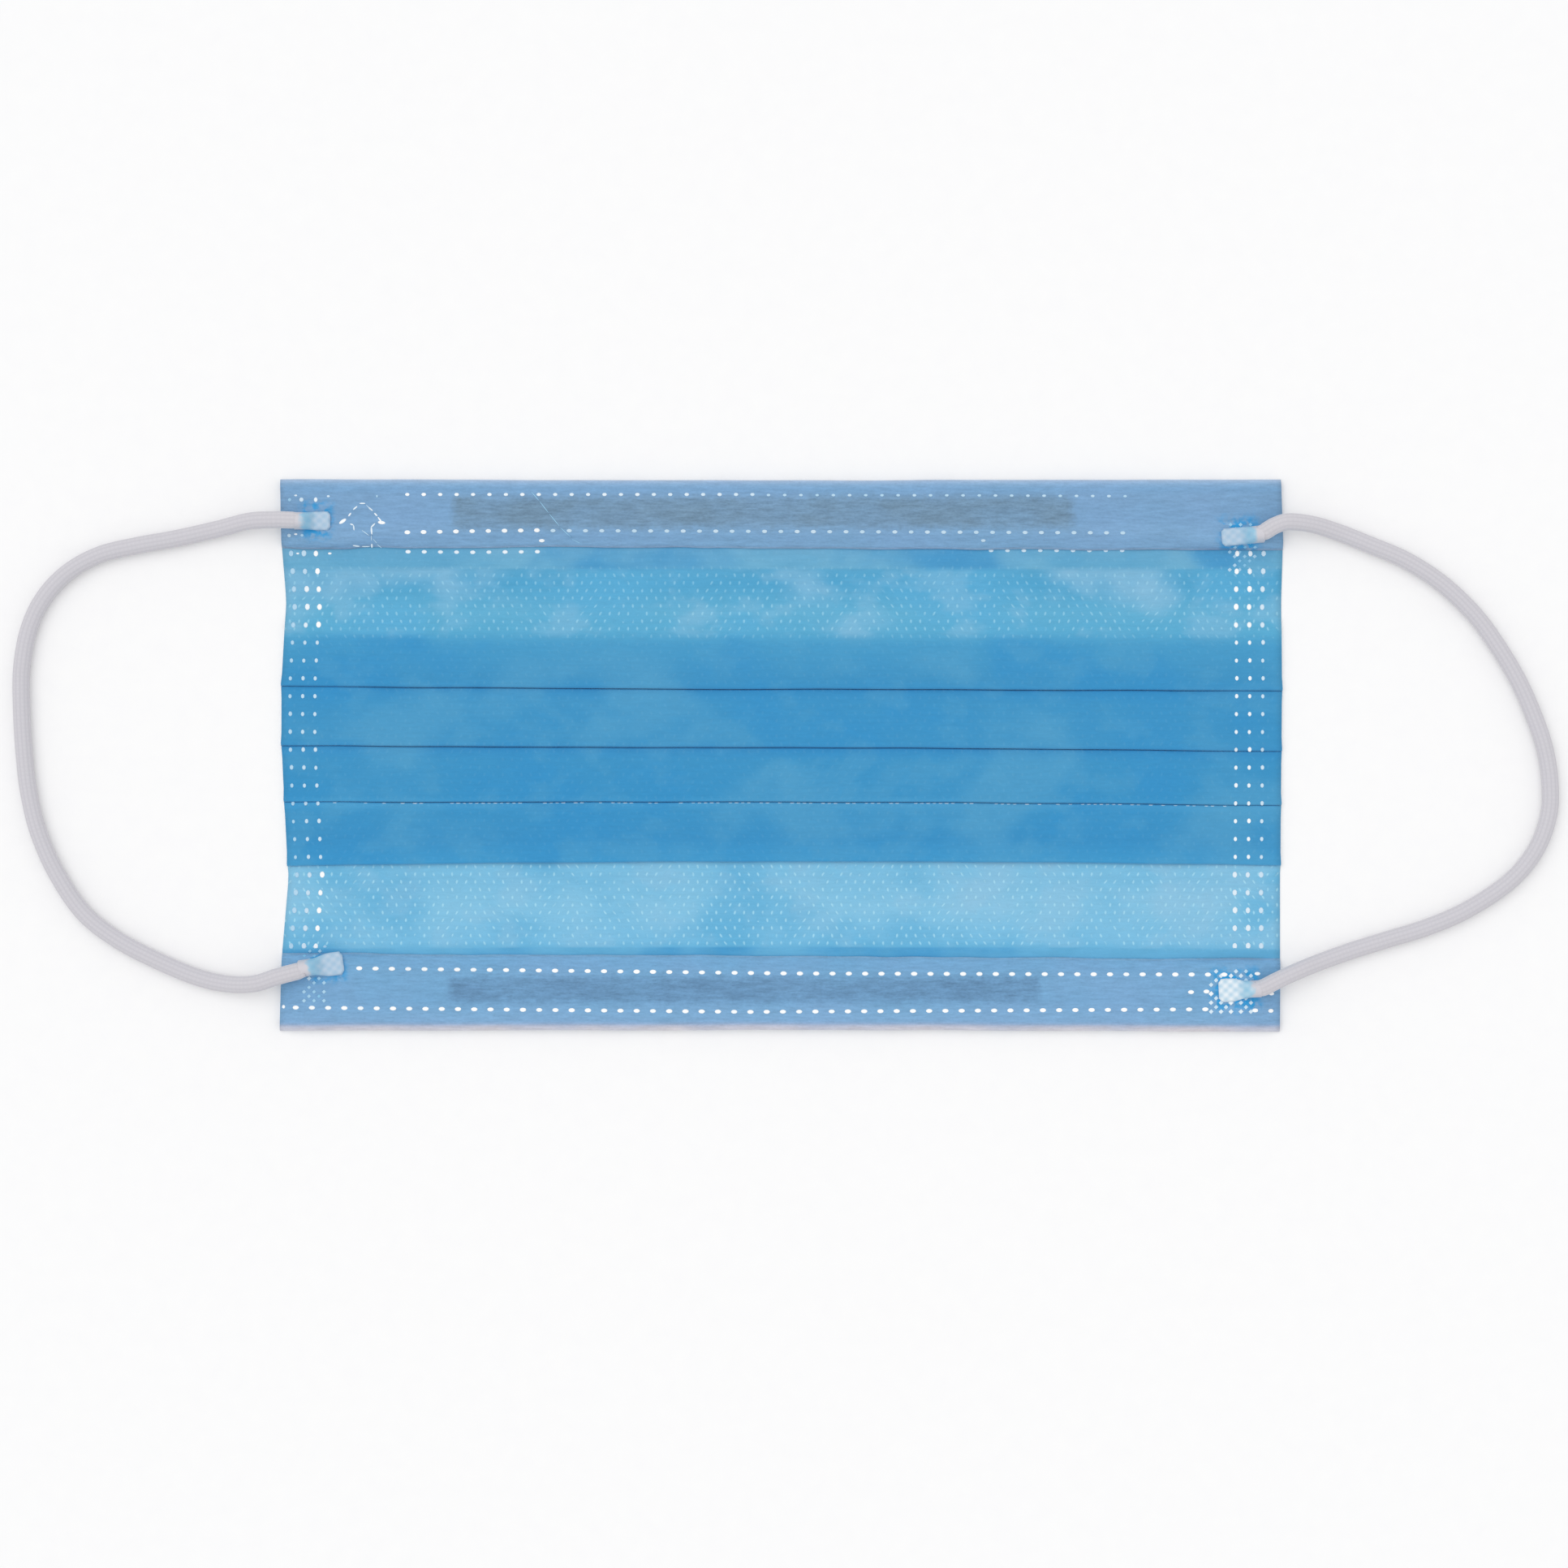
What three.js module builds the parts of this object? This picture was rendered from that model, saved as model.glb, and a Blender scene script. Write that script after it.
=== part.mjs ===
// Flat-folded surgical face mask with two elastic ear loops, in millimetres.
// The mask lies on the plane z = 0 with its outer face up. X runs across the face, +Y towards
// the nose. The origin is on the surface it lies on, under the middle of the cloth body.
import * as THREE from 'three';

// Cloth body
const HALF_HEIGHT = 48.1;
const PLY = 1.0;
const PLY_GAP = 0.15;
const SEAM_GAP = 0.3;
const FOLD_STEPS = 6;
const RISE_STEPS = 4;

// Visible edges of the four knife pleats, from the nose down. The first one's fold has a depth of
// its own, and each other one goes back up until it meets the pleat above.
const PLEAT_EDGES = [11.8, 1.3, -8.4, -19.0];
const FIRST_PLEAT_DEPTH = 9.4;

// Distance of the left and right side edges from the middle line, pinched by the side seams
const SIDE_EDGES = [
  { y: 48.1, left: 87.5, right: 87.3 },
  { y: 37.0, left: 87.4, right: 87.7 },
  { y: 27.0, left: 86.5, right: 87.4 },
  { y: 12.0, left: 87.3, right: 87.5 },
  { y: 2.0, left: 87.3, right: 87.4 },
  { y: -8.4, left: 86.8, right: 87.3 },
  { y: -21.0, left: 86.1, right: 87.2 },
  { y: -34.0, left: 87.2, right: 87.2 },
  { y: -48.1, left: 87.7, right: 87.1 },
];

// Hems: the inner cloth rolled over the edge, with a flap on the front
const FLAP_BASE = 2.2;
const HEM_LIP = 0.2;
const TOP_FLAP = { side: 1, freeEdge: 35.9, wave: 0.45 };
const BOTTOM_FLAP = { side: -1, freeEdge: 35.6, wave: 0.25 };
const HEM_STEPS = 16;

// Beside the side seams the flaps are pressed down on the panel, by this much and over this run
const SEAM_PRESS = { depth: 0.9, start: 62, end: 76 };

// Strips held inside the hems
const STRIP_THICKNESS = 0.6;
const STRIP_ROUNDING = 0.8;
const NOSE_STRIP = { left: -58.5, right: 52.2, low: 39.9, high: 44.8 };
const CHIN_STRIP = { left: -59.3, right: 46.5, low: -42.7, high: -38.9 };

// Elastic: a round cord, flattened where it is welded to the front of the hems
const CORD_DIAMETER = 3.0;
const CORD_SIDES = 8;
const CORD_STEPS = 48;
const WELD_WIDTH = 3.8;
const WELD_THICKNESS = 1.0;
const WELD_CORNER = 0.6;
const WELD_STEPS = 6;
const WELDS = [
  { name: 'left_top_weld', x: -83.5, y: 40.9, length: 4.8, heading: 0 },
  { name: 'left_bottom_weld', x: -82.6, y: -37.2, length: 6.2, heading: 8 },
  { name: 'right_top_weld', x: 82.7, y: 38.6, length: 5.8, heading: 185 },
  { name: 'right_bottom_weld', x: 82.2, y: -40.7, length: 5.8, heading: 183 },
];

// Routes of the loops, from the upper weld round to the lower one
const LEFT_ROUTE = [
  [-83.85, 40.9, 4.1],
  [-88.2, 41.0, 4.1],
  [-92.8, 40.8, 3.0],
  [-98.3, 39.5, 1.7],
  [-105.4, 37.9, 1.6],
  [-112.5, 36.6, 1.6],
  [-119.0, 35.0, 1.6],
  [-124.6, 31.9, 1.6],
  [-128.8, 27.4, 1.6],
  [-131.4, 21.8, 1.6],
  [-132.6, 15.0, 1.6],
  [-132.6, 8.0, 1.6],
  [-132.2, 1.0, 1.6],
  [-131.4, -6.2, 1.6],
  [-129.7, -13.3, 1.6],
  [-126.6, -20.4, 1.6],
  [-121.9, -27.4, 1.6],
  [-116.0, -32.1, 1.6],
  [-109.0, -35.8, 1.6],
  [-102.0, -38.7, 1.6],
  [-96.6, -39.9, 1.9],
  [-91.8, -39.8, 3.3],
  [-87.6, -38.5, 4.1],
  [-83.0, -37.3, 4.1],
];
const RIGHT_ROUTE = [
  [83.1, 38.65, 4.1],
  [84.2, 38.95, 4.1],
  [86.0, 40.0, 4.1],
  [88.4, 40.65, 4.1],
  [92.8, 40.2, 3.1],
  [97.6, 38.8, 1.7],
  [102.4, 36.9, 1.6],
  [109.2, 34.0, 1.6],
  [115.6, 29.8, 1.6],
  [121.2, 24.4, 1.6],
  [125.4, 18.6, 1.6],
  [128.7, 13.0, 1.6],
  [131.2, 7.4, 1.6],
  [133.2, 1.6, 1.6],
  [134.2, -4.4, 1.6],
  [134.0, -10.4, 1.6],
  [131.7, -16.6, 1.6],
  [127.2, -22.0, 1.6],
  [119.9, -26.9, 1.6],
  [112.8, -30.0, 1.6],
  [105.7, -32.2, 1.6],
  [99.6, -34.1, 1.7],
  [94.4, -35.9, 2.5],
  [90.4, -37.4, 3.8],
  [86.6, -39.1, 4.1],
  [84.0, -40.4, 4.1],
  [82.6, -40.7, 4.1],
];

// Heights of the stacked plies, at the middle of their thickness
const LIFT = PLY + PLY_GAP;
const LOW = PLY / 2;
const MIDDLE = LOW + LIFT;
const HIGH = LOW + 2 * LIFT;
const FOLD_OUTER = (LIFT + PLY) / 2;
const RISE_RADIUS = 1.5 * LIFT;
const RISE_RUN = Math.sqrt(4 * RISE_RADIUS ** 2 - LIFT ** 2);
const RISE_ANGLE = Math.asin(LIFT / (2 * RISE_RADIUS));
const ROLL_OUTER = (FLAP_BASE + PLY) / 2;
const WELD_BASE = FLAP_BASE + PLY + SEAM_GAP - SEAM_PRESS.depth;
const PANEL_EDGE = HALF_HEIGHT - ROLL_OUTER - HEM_LIP - SEAM_GAP;

const BLUE_CLOTH = { color: 0x4d9cc6, roughness: 0.9, metalness: 0 };
const HEM_CLOTH = { color: 0x9dbcd6, roughness: 0.9, metalness: 0 };
const STRIP_METAL = { color: 0x9aa3aa, roughness: 0.45, metalness: 1 };
const WELDED_ELASTIC = { color: 0xc3d2df, roughness: 0.6, metalness: 0 };
const ELASTIC = { color: 0xcfced4, roughness: 0.85, metalness: 0 };

function arc(centre, radius, from, to, steps) {
  const points = [];
  for (let step = 0; step <= steps; step += 1) {
    const angle = from + ((to - from) * step) / steps;
    const y = centre.x + radius * Math.cos(angle);
    const z = centre.y + radius * Math.sin(angle);
    points.push(new THREE.Vector2(y, z));
  }
  return points;
}

// The rising S that lifts a ply from the back of the stack to its front, over the next fold
function rise(foldCentreY) {
  const upper = new THREE.Vector2(foldCentreY + RISE_RUN, LOW + RISE_RADIUS);
  const lower = new THREE.Vector2(foldCentreY, LOW + LIFT / 2);
  const start = arc(upper, RISE_RADIUS, 1.5 * Math.PI, Math.PI + RISE_ANGLE, RISE_STEPS);
  const end = arc(lower, RISE_RADIUS, RISE_ANGLE, 0.5 * Math.PI, RISE_STEPS);
  return [...start, ...end.slice(1)];
}

// One knife pleat: the ply rises, turns under at its visible edge and turns down again inside
function pleatPath(edgeY, hiddenCentreY) {
  const edgeCentre = new THREE.Vector2(edgeY + FOLD_OUTER, MIDDLE + LIFT / 2);
  const hiddenCentre = new THREE.Vector2(hiddenCentreY, LOW + LIFT / 2);
  return [
    ...rise(hiddenCentreY),
    ...arc(edgeCentre, LIFT / 2, 0.5 * Math.PI, 1.5 * Math.PI, FOLD_STEPS),
    ...arc(hiddenCentre, LIFT / 2, 0.5 * Math.PI, -0.5 * Math.PI, FOLD_STEPS),
  ];
}

function panelPath() {
  const points = [new THREE.Vector2(PANEL_EDGE, LOW)];
  let hiddenCentre = PLEAT_EDGES[0] + FIRST_PLEAT_DEPTH - FOLD_OUTER;
  for (const edge of PLEAT_EDGES) {
    points.push(...pleatPath(edge, hiddenCentre));
    hiddenCentre = edge + FOLD_OUTER - RISE_RUN;
  }
  points.push(new THREE.Vector2(-PANEL_EDGE, LOW));
  return points;
}

function hemPath(flap) {
  const rollCentre = new THREE.Vector2(HALF_HEIGHT - ROLL_OUTER, ROLL_OUTER);
  const roll = arc(rollCentre, FLAP_BASE / 2, -0.5 * Math.PI, 0.5 * Math.PI, FOLD_STEPS);
  const lip = new THREE.Vector2(rollCentre.x - HEM_LIP, LOW);
  const points = [lip, ...roll, new THREE.Vector2(flap.freeEdge, FLAP_BASE + PLY / 2)];
  return points.map((point) => new THREE.Vector2(flap.side * point.x, point.y));
}

// A band of cloth of one thickness along a path, as a closed section
function clothSection(path, thickness) {
  const front = [];
  const back = [];
  path.forEach((point, index) => {
    const before = path[Math.max(index - 1, 0)];
    const after = path[Math.min(index + 1, path.length - 1)];
    const into = point.clone().sub(before).normalize();
    const out = after.clone().sub(point).normalize();
    const along = into.clone().add(out).normalize();
    const widen = 1 / Math.max(along.dot(out.lengthSq() > 0 ? out : into), 0.5);
    const side = new THREE.Vector2(-along.y, along.x).multiplyScalar((widen * thickness) / 2);
    front.push(point.clone().add(side));
    back.push(point.clone().sub(side));
  });
  return new THREE.Shape([...front, ...back.reverse()]);
}

function sideEdge(y, column) {
  const clamped = THREE.MathUtils.clamp(y, -HALF_HEIGHT, HALF_HEIGHT);
  const lower = SIDE_EDGES.findIndex((row) => row.y <= clamped);
  const below = SIDE_EDGES[lower];
  const above = SIDE_EDGES[Math.max(lower - 1, 0)];
  const span = above.y - below.y || 1;
  return THREE.MathUtils.lerp(below[column], above[column], (clamped - below.y) / span);
}

// Runs a section across the mask from its left side edge to its right one
function acrossMask(section, steps) {
  const geometry = new THREE.ExtrudeGeometry(section, { depth: 1, steps, bevelEnabled: false });
  const position = geometry.attributes.position;
  for (let index = 0; index < position.count; index += 1) {
    const y = position.getX(index);
    const z = position.getY(index);
    const x = THREE.MathUtils.lerp(-sideEdge(y, 'left'), sideEdge(y, 'right'), position.getZ(index));
    position.setXYZ(index, x, y, z);
  }
  return geometry;
}

// The free edge of a flap wanders a little, as a folded edge does
function waveFreeEdge(geometry, flap) {
  const position = geometry.attributes.position;
  for (let index = 0; index < position.count; index += 1) {
    const distance = Math.abs(Math.abs(position.getY(index)) - flap.freeEdge);
    if (distance < PLY / 10) {
      const x = position.getX(index);
      const wander = 0.6 * Math.sin(x / 9.5) + 0.4 * Math.sin(x / 4.3 + 1.0);
      position.setY(index, position.getY(index) + flap.wave * wander);
    }
  }
  return geometry;
}

// Lowers a flap towards the panel near the sides, and leaves its thickness as it is
function pressSides(geometry) {
  const position = geometry.attributes.position;
  for (let index = 0; index < position.count; index += 1) {
    const z = position.getZ(index);
    const beside = Math.abs(position.getX(index));
    const share = THREE.MathUtils.smoothstep(beside, SEAM_PRESS.start, SEAM_PRESS.end);
    const raised = THREE.MathUtils.clamp((z - PLY) / (FLAP_BASE - PLY), 0, 1);
    position.setZ(index, z - SEAM_PRESS.depth * share * raised);
  }
  return geometry;
}

function hem(flap) {
  const section = clothSection(hemPath(flap), PLY);
  return pressSides(waveFreeEdge(acrossMask(section, HEM_STEPS), flap));
}

function strip(size) {
  const outline = new THREE.Shape();
  const inset = STRIP_ROUNDING;
  outline.moveTo(size.left + inset, size.low);
  outline.lineTo(size.right - inset, size.low);
  outline.absarc(size.right - inset, size.low + inset, inset, -0.5 * Math.PI, 0, false);
  outline.lineTo(size.right, size.high - inset);
  outline.absarc(size.right - inset, size.high - inset, inset, 0, 0.5 * Math.PI, false);
  outline.lineTo(size.left + inset, size.high);
  outline.absarc(size.left + inset, size.high - inset, inset, 0.5 * Math.PI, Math.PI, false);
  outline.lineTo(size.left, size.low + inset);
  outline.absarc(size.left + inset, size.low + inset, inset, Math.PI, 1.5 * Math.PI, false);
  const options = { depth: STRIP_THICKNESS, curveSegments: 4, bevelEnabled: false };
  const geometry = new THREE.ExtrudeGeometry(outline, options);
  return geometry.translate(0, 0, PLY + SEAM_GAP);
}

// The end of the elastic, as high as the cord where it leaves and pressed thin at its far end
function weldPad(length) {
  const half = WELD_WIDTH / 2;
  const near = CORD_DIAMETER / 2;
  const far = length - WELD_CORNER;
  const bend = half - WELD_CORNER;
  const outline = new THREE.Shape();
  outline.moveTo(0, -near);
  outline.lineTo(length / 2, -half);
  outline.lineTo(far, -half);
  outline.absarc(far, -bend, WELD_CORNER, -0.5 * Math.PI, 0, false);
  outline.absarc(far, bend, WELD_CORNER, 0, 0.5 * Math.PI, false);
  outline.lineTo(length / 2, half);
  outline.lineTo(0, near);
  const options = { depth: 1, curveSegments: WELD_STEPS, bevelEnabled: false };
  const geometry = new THREE.ExtrudeGeometry(outline, options);
  const position = geometry.attributes.position;
  for (let index = 0; index < position.count; index += 1) {
    const run = Math.min((2 * position.getX(index)) / length, 1);
    const height = THREE.MathUtils.lerp(CORD_DIAMETER, WELD_THICKNESS, run);
    position.setZ(index, position.getZ(index) * height);
  }
  return geometry;
}

function cordTube(route) {
  const points = route.map((point) => new THREE.Vector3(...point));
  const curve = new THREE.CatmullRomCurve3(points, false, 'centripetal');
  const section = new THREE.Shape();
  for (let side = 0; side < CORD_SIDES; side += 1) {
    const angle = (2 * Math.PI * side) / CORD_SIDES;
    const x = (CORD_DIAMETER / 2) * Math.cos(angle);
    const y = (CORD_DIAMETER / 2) * Math.sin(angle);
    if (side === 0) {
      section.moveTo(x, y);
    } else {
      section.lineTo(x, y);
    }
  }
  return new THREE.ExtrudeGeometry(section, { steps: CORD_STEPS, extrudePath: curve });
}

function named(name, geometry, finish) {
  const material = new THREE.MeshStandardMaterial(finish);
  const mesh = new THREE.Mesh(geometry, material);
  mesh.name = name;
  return mesh;
}

function clothBody() {
  const body = new THREE.Group();
  const panel = acrossMask(clothSection(panelPath(), PLY), 1);
  body.add(named('pleated_panel', panel, BLUE_CLOTH));
  body.add(named('top_hem', hem(TOP_FLAP), HEM_CLOTH));
  body.add(named('bottom_hem', hem(BOTTOM_FLAP), HEM_CLOTH));
  body.add(named('nose_strip', strip(NOSE_STRIP), STRIP_METAL));
  body.add(named('chin_strip', strip(CHIN_STRIP), STRIP_METAL));
  return body;
}

function earLoops() {
  const loops = new THREE.Group();
  for (const weld of WELDS) {
    const pad = named(weld.name, weldPad(weld.length), WELDED_ELASTIC);
    pad.position.set(weld.x, weld.y, WELD_BASE);
    pad.rotation.z = THREE.MathUtils.degToRad(weld.heading);
    loops.add(pad);
  }
  loops.add(named('left_ear_loop', cordTube(LEFT_ROUTE), ELASTIC));
  loops.add(named('right_ear_loop', cordTube(RIGHT_ROUTE), ELASTIC));
  return loops;
}

const group = new THREE.Group();
group.add(clothBody());
group.add(earLoops());

export default group;
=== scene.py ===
"""Looks of a flat-folded surgical face mask with two elastic ear loops.

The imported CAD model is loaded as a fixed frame. Around it this script builds the thin pleated
cloth, the two rolled hems, the knitted elastic with its pressed ends, and the rows of small
weld dots, and it dresses every piece in a procedural material. Everything is in metres.
"""

import logging
import math
from dataclasses import dataclass, field
from enum import Enum

import bmesh
import bpy
import numpy as np
from mathutils import Matrix, Vector, noise
from mathutils.bvhtree import BVHTree


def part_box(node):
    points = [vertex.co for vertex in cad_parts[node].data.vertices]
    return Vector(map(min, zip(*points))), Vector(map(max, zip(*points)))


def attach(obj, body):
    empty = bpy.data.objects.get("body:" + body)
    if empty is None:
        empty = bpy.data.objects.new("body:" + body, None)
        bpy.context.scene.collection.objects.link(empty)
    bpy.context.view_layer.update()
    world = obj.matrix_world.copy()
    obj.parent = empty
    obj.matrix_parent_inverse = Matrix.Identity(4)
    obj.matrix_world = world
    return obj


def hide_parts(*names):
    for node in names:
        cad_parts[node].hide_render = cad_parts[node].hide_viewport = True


Socket = bpy.types.NodeSocket
NodeTree = bpy.types.NodeTree
Piece = bpy.types.Object
Material = bpy.types.Material
BMesh = bmesh.types.BMesh
BMVert = bmesh.types.BMVert

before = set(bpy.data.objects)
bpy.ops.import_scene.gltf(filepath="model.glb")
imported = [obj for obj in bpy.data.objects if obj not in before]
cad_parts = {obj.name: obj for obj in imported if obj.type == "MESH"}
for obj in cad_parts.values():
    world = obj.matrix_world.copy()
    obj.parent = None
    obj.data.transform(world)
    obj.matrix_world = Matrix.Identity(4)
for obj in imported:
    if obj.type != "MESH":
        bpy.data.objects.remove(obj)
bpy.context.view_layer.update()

MM = 0.001
BODY = "root"
LOG = logging.getLogger("face_mask")
# Stations run across the mask in millimetres, from the chin at minus this to the nose at plus this
STATION_SPAN = 50.0

# Routes of the elastic from its upper weld to its lower one, in millimetres
LEFT_ROUTE = (
    (-83.85, 40.9, 4.1), (-88.2, 41.0, 4.1), (-92.8, 40.8, 3.0), (-98.3, 39.5, 1.7),
    (-105.4, 37.9, 1.6), (-112.5, 36.6, 1.6), (-119.0, 35.0, 1.6), (-124.6, 31.9, 1.6),
    (-128.8, 27.4, 1.6), (-131.4, 21.8, 1.6), (-132.6, 15.0, 1.6), (-132.6, 8.0, 1.6),
    (-132.2, 1.0, 1.6), (-131.4, -6.2, 1.6), (-129.7, -13.3, 1.6), (-126.6, -20.4, 1.6),
    (-121.9, -27.4, 1.6), (-116.0, -32.1, 1.6), (-109.0, -35.8, 1.6), (-102.0, -38.7, 1.6),
    (-96.6, -39.9, 1.9), (-91.8, -39.8, 3.3), (-87.6, -38.5, 4.1), (-83.0, -37.3, 4.1),
)
RIGHT_ROUTE = (
    (83.1, 38.65, 4.1), (84.2, 38.95, 4.1), (86.0, 40.0, 4.1), (88.4, 40.65, 4.1),
    (92.8, 40.2, 3.1), (97.6, 38.8, 1.7), (102.4, 36.9, 1.6), (109.2, 34.0, 1.6),
    (115.6, 29.8, 1.6), (121.2, 24.4, 1.6), (125.4, 18.6, 1.6), (128.7, 13.0, 1.6),
    (131.2, 7.4, 1.6), (133.2, 1.6, 1.6), (134.2, -4.4, 1.6), (134.0, -10.4, 1.6),
    (131.7, -16.6, 1.6), (127.2, -22.0, 1.6), (119.9, -26.9, 1.6), (112.8, -30.0, 1.6),
    (105.7, -32.2, 1.6), (99.6, -34.1, 1.7), (94.4, -35.9, 2.5), (90.4, -37.4, 3.8),
    (86.6, -39.1, 4.1), (84.0, -40.4, 4.1), (82.6, -40.7, 4.1),
)


# Free edge of each hem: places along the mask and how far the edge is from its middle line
TOP_FREE_EDGE = (
    (-87.5, 36.2), (-76, 36.1), (-72, 36.5), (-66, 36.1),
    (-40, 36.5), (0, 36.2), (40, 36.0), (87.5, 35.9),
)
BOTTOM_FREE_EDGE = (
    (-87.5, 34.4), (-76, 34.5), (-70, 34.8), (-28, 35.1),
    (20, 35.4), (60, 35.6), (87.5, 35.3),
)


class HemEdge(Enum):
    """Which edge of the mask a hem closes; the value is its direction along Y."""

    TOP = 1
    BOTTOM = -1


class Side(Enum):
    """Left or right end of the mask; the value is its direction along X."""

    LEFT = -1
    RIGHT = 1


def linear(rgb: tuple[int, int, int]) -> tuple[float, float, float, float]:
    """Turns a display colour into the linear colour that shaders take.

    Args:
        rgb: red, green and blue from 0 to 255.

    Returns:
        The linear colour with an alpha of 1.
    """
    shares = [channel / 255 for channel in rgb]
    curved = [s / 12.92 if s <= 0.04045 else ((s + 0.055) / 1.055) ** 2.4 for s in shares]
    return (*curved, 1.0)


def smooth(value: float, start: float, end: float) -> float:
    """Rises softly from 0, where the value is at start, to 1 at end."""
    share = min(max((value - start) / (end - start), 0.0), 1.0)
    return share * share * (3 - 2 * share)


def catmull_rom(points: list[Vector], spacing: float, steps: int = 24) -> list[Vector]:
    """Follows a smooth curve through the given points at an even spacing.

    Args:
        points: the points that the curve passes through, in order.
        spacing: the distance from one sample to the next.
        steps: how finely each stretch is measured.

    Returns:
        The samples, the first and last point among them.
    """
    ends = [2 * points[0] - points[1], *points, 2 * points[-1] - points[-2]]
    dense = []
    for before, start, end, after in zip(ends, ends[1:], ends[2:], ends[3:]):
        for step in range(steps):
            t = step / steps
            curve = 2 * start + (end - before) * t
            curve += (2 * before - 5 * start + 4 * end - after) * t**2
            curve += (3 * start - before - 3 * end + after) * t**3
            dense.append(curve / 2)
    dense.append(points[-1].copy())
    lengths = np.cumsum([0.0] + [(b - a).length for a, b in zip(dense, dense[1:])])
    count = max(2, round(lengths[-1] / spacing))
    stations = np.linspace(0, lengths[-1], count + 1)
    axes = [np.interp(stations, lengths, [p[axis] for p in dense]) for axis in range(3)]
    return [Vector(place) for place in zip(*axes)]


class Graph:
    """Adds nodes to one shader tree and wires them with short calls."""

    def __init__(self, tree: NodeTree) -> None:
        """Keeps the tree that the nodes go in."""
        self.tree = tree

    def node(self, kind: str, **settings: object) -> bpy.types.Node:
        """Adds a node.

        Args:
            kind: the node's type name, without its ShaderNode prefix.
            **settings: properties to set on it.

        Returns:
            The new node.
        """
        made = self.tree.nodes.new("ShaderNode" + kind)
        for name, value in settings.items():
            setattr(made, name, value)
        return made

    def feed(self, target: Socket, value: object) -> None:
        """Links a socket into the target, or sets the target to a plain value."""
        if isinstance(value, Socket):
            self.tree.links.new(value, target)
        else:
            target.default_value = value

    def math(self, operation: str, *values: object) -> Socket:
        """Adds a Math node.

        Args:
            operation: the node's operation.
            *values: sockets or numbers for its inputs.

        Returns:
            The result's socket.
        """
        made = self.node("Math", operation=operation)
        for target, value in zip(made.inputs, values):
            self.feed(target, value)
        return made.outputs[0]

    def times(self, first: object, second: object) -> Socket:
        """Multiplies two values."""
        return self.math("MULTIPLY", first, second)

    def less(self, first: object, second: object) -> Socket:
        """Takes the second value from the first."""
        return self.math("SUBTRACT", first, second)

    def scaled(self, vector: object, scale: tuple[float, float, float]) -> Socket:
        """Stretches a vector.

        Args:
            vector: the socket to stretch.
            scale: the factor along each axis.

        Returns:
            The stretched vector's socket.
        """
        made = self.node("VectorMath", operation="MULTIPLY")
        self.feed(made.inputs[0], vector)
        made.inputs[1].default_value = scale
        return made.outputs[0]

    def carried(self, name: str) -> Socket:
        """Reads a value that the mesh carries at its vertices."""
        return self.node("Attribute", attribute_name=name).outputs["Fac"]

    def split(self, vector: object) -> list[Socket]:
        """Gives the three parts of a vector as sockets."""
        made = self.node("SeparateXYZ")
        self.feed(made.inputs[0], vector)
        return list(made.outputs)

    def noise(self, vector: object, scale: object, detail: float = 2.0) -> Socket:
        """Adds soft noise.

        Args:
            vector: where the noise is read.
            scale: how many grains there are in a unit.
            detail: how many finer octaves are added.

        Returns:
            The noise value's socket, about 0.5 on average.
        """
        made = self.node("TexNoise")
        self.feed(made.inputs["Vector"], vector)
        self.feed(made.inputs["Scale"], scale)
        made.inputs["Detail"].default_value = detail
        return made.outputs["Fac"]

    def remap(
        self, value: object, low: object, high: object, to: tuple[float, float] = (0, 1)
    ) -> Socket:
        """Maps a range to another one smoothly and stays inside it.

        Args:
            value: the socket to map.
            low: the value that gives the first of to.
            high: the value that gives the second of to.
            to: the range of the result.

        Returns:
            The result's socket.
        """
        made = self.node("MapRange", interpolation_type="SMOOTHSTEP")
        for target, given in zip(made.inputs, (value, low, high, *to)):
            self.feed(target, given)
        return made.outputs[0]

    def mix(self, share: object, first: object, second: object, blend: str = "MIX") -> Socket:
        """Mixes two colours.

        Args:
            share: how much of the second colour there is.
            first: a socket or a display colour.
            second: a socket or a display colour.
            blend: the way of mixing.

        Returns:
            The mixed colour's socket.
        """
        made = self.node("Mix", data_type="RGBA", blend_type=blend)
        self.feed(made.inputs[0], share)
        for target, colour in ((made.inputs[6], first), (made.inputs[7], second)):
            self.feed(target, linear(colour) if isinstance(colour, tuple) else colour)
        return made.outputs[2]

    def ramp(self, value: object, stops: tuple) -> Socket:
        """Adds a colour ramp over stations across the mask.

        Args:
            value: a socket that holds a station in metres.
            stops: pairs of a station in millimetres, rising, and a display colour.

        Returns:
            The colour's socket.
        """
        made = self.node("ValToRGB")
        share = self.math("MULTIPLY_ADD", value, 1 / (2 * STATION_SPAN * MM), 0.5)
        self.feed(made.inputs[0], share)
        elements = made.color_ramp.elements
        for index, (station, colour) in enumerate(stops):
            place = station / (2 * STATION_SPAN) + 0.5
            if index < 2:
                element = elements[index]
                element.position = place
            else:
                element = elements.new(place)
            element.color = linear(colour)
        return made.outputs[0]

    def shaded(self, colour: object, grey: object) -> Socket:
        """Multiplies a colour by a grey value.

        Args:
            colour: the colour's socket.
            grey: the value's socket.

        Returns:
            The shaded colour's socket.
        """
        shade = self.node("CombineColor")
        for socket in shade.inputs:
            self.feed(socket, grey)
        return self.mix(1.0, colour, shade.outputs[0], "MULTIPLY")

    def group(self, name: str, **inputs: object) -> Socket:
        """Places one of the groups that the finishes share.

        Args:
            name: the group's name.
            **inputs: sockets or values for its inputs, by name.

        Returns:
            The group's first output.
        """
        made = self.node("Group", node_tree=bpy.data.node_groups[name])
        for label, value in inputs.items():
            self.feed(made.inputs[label], value)
        return made.outputs[0]

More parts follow.
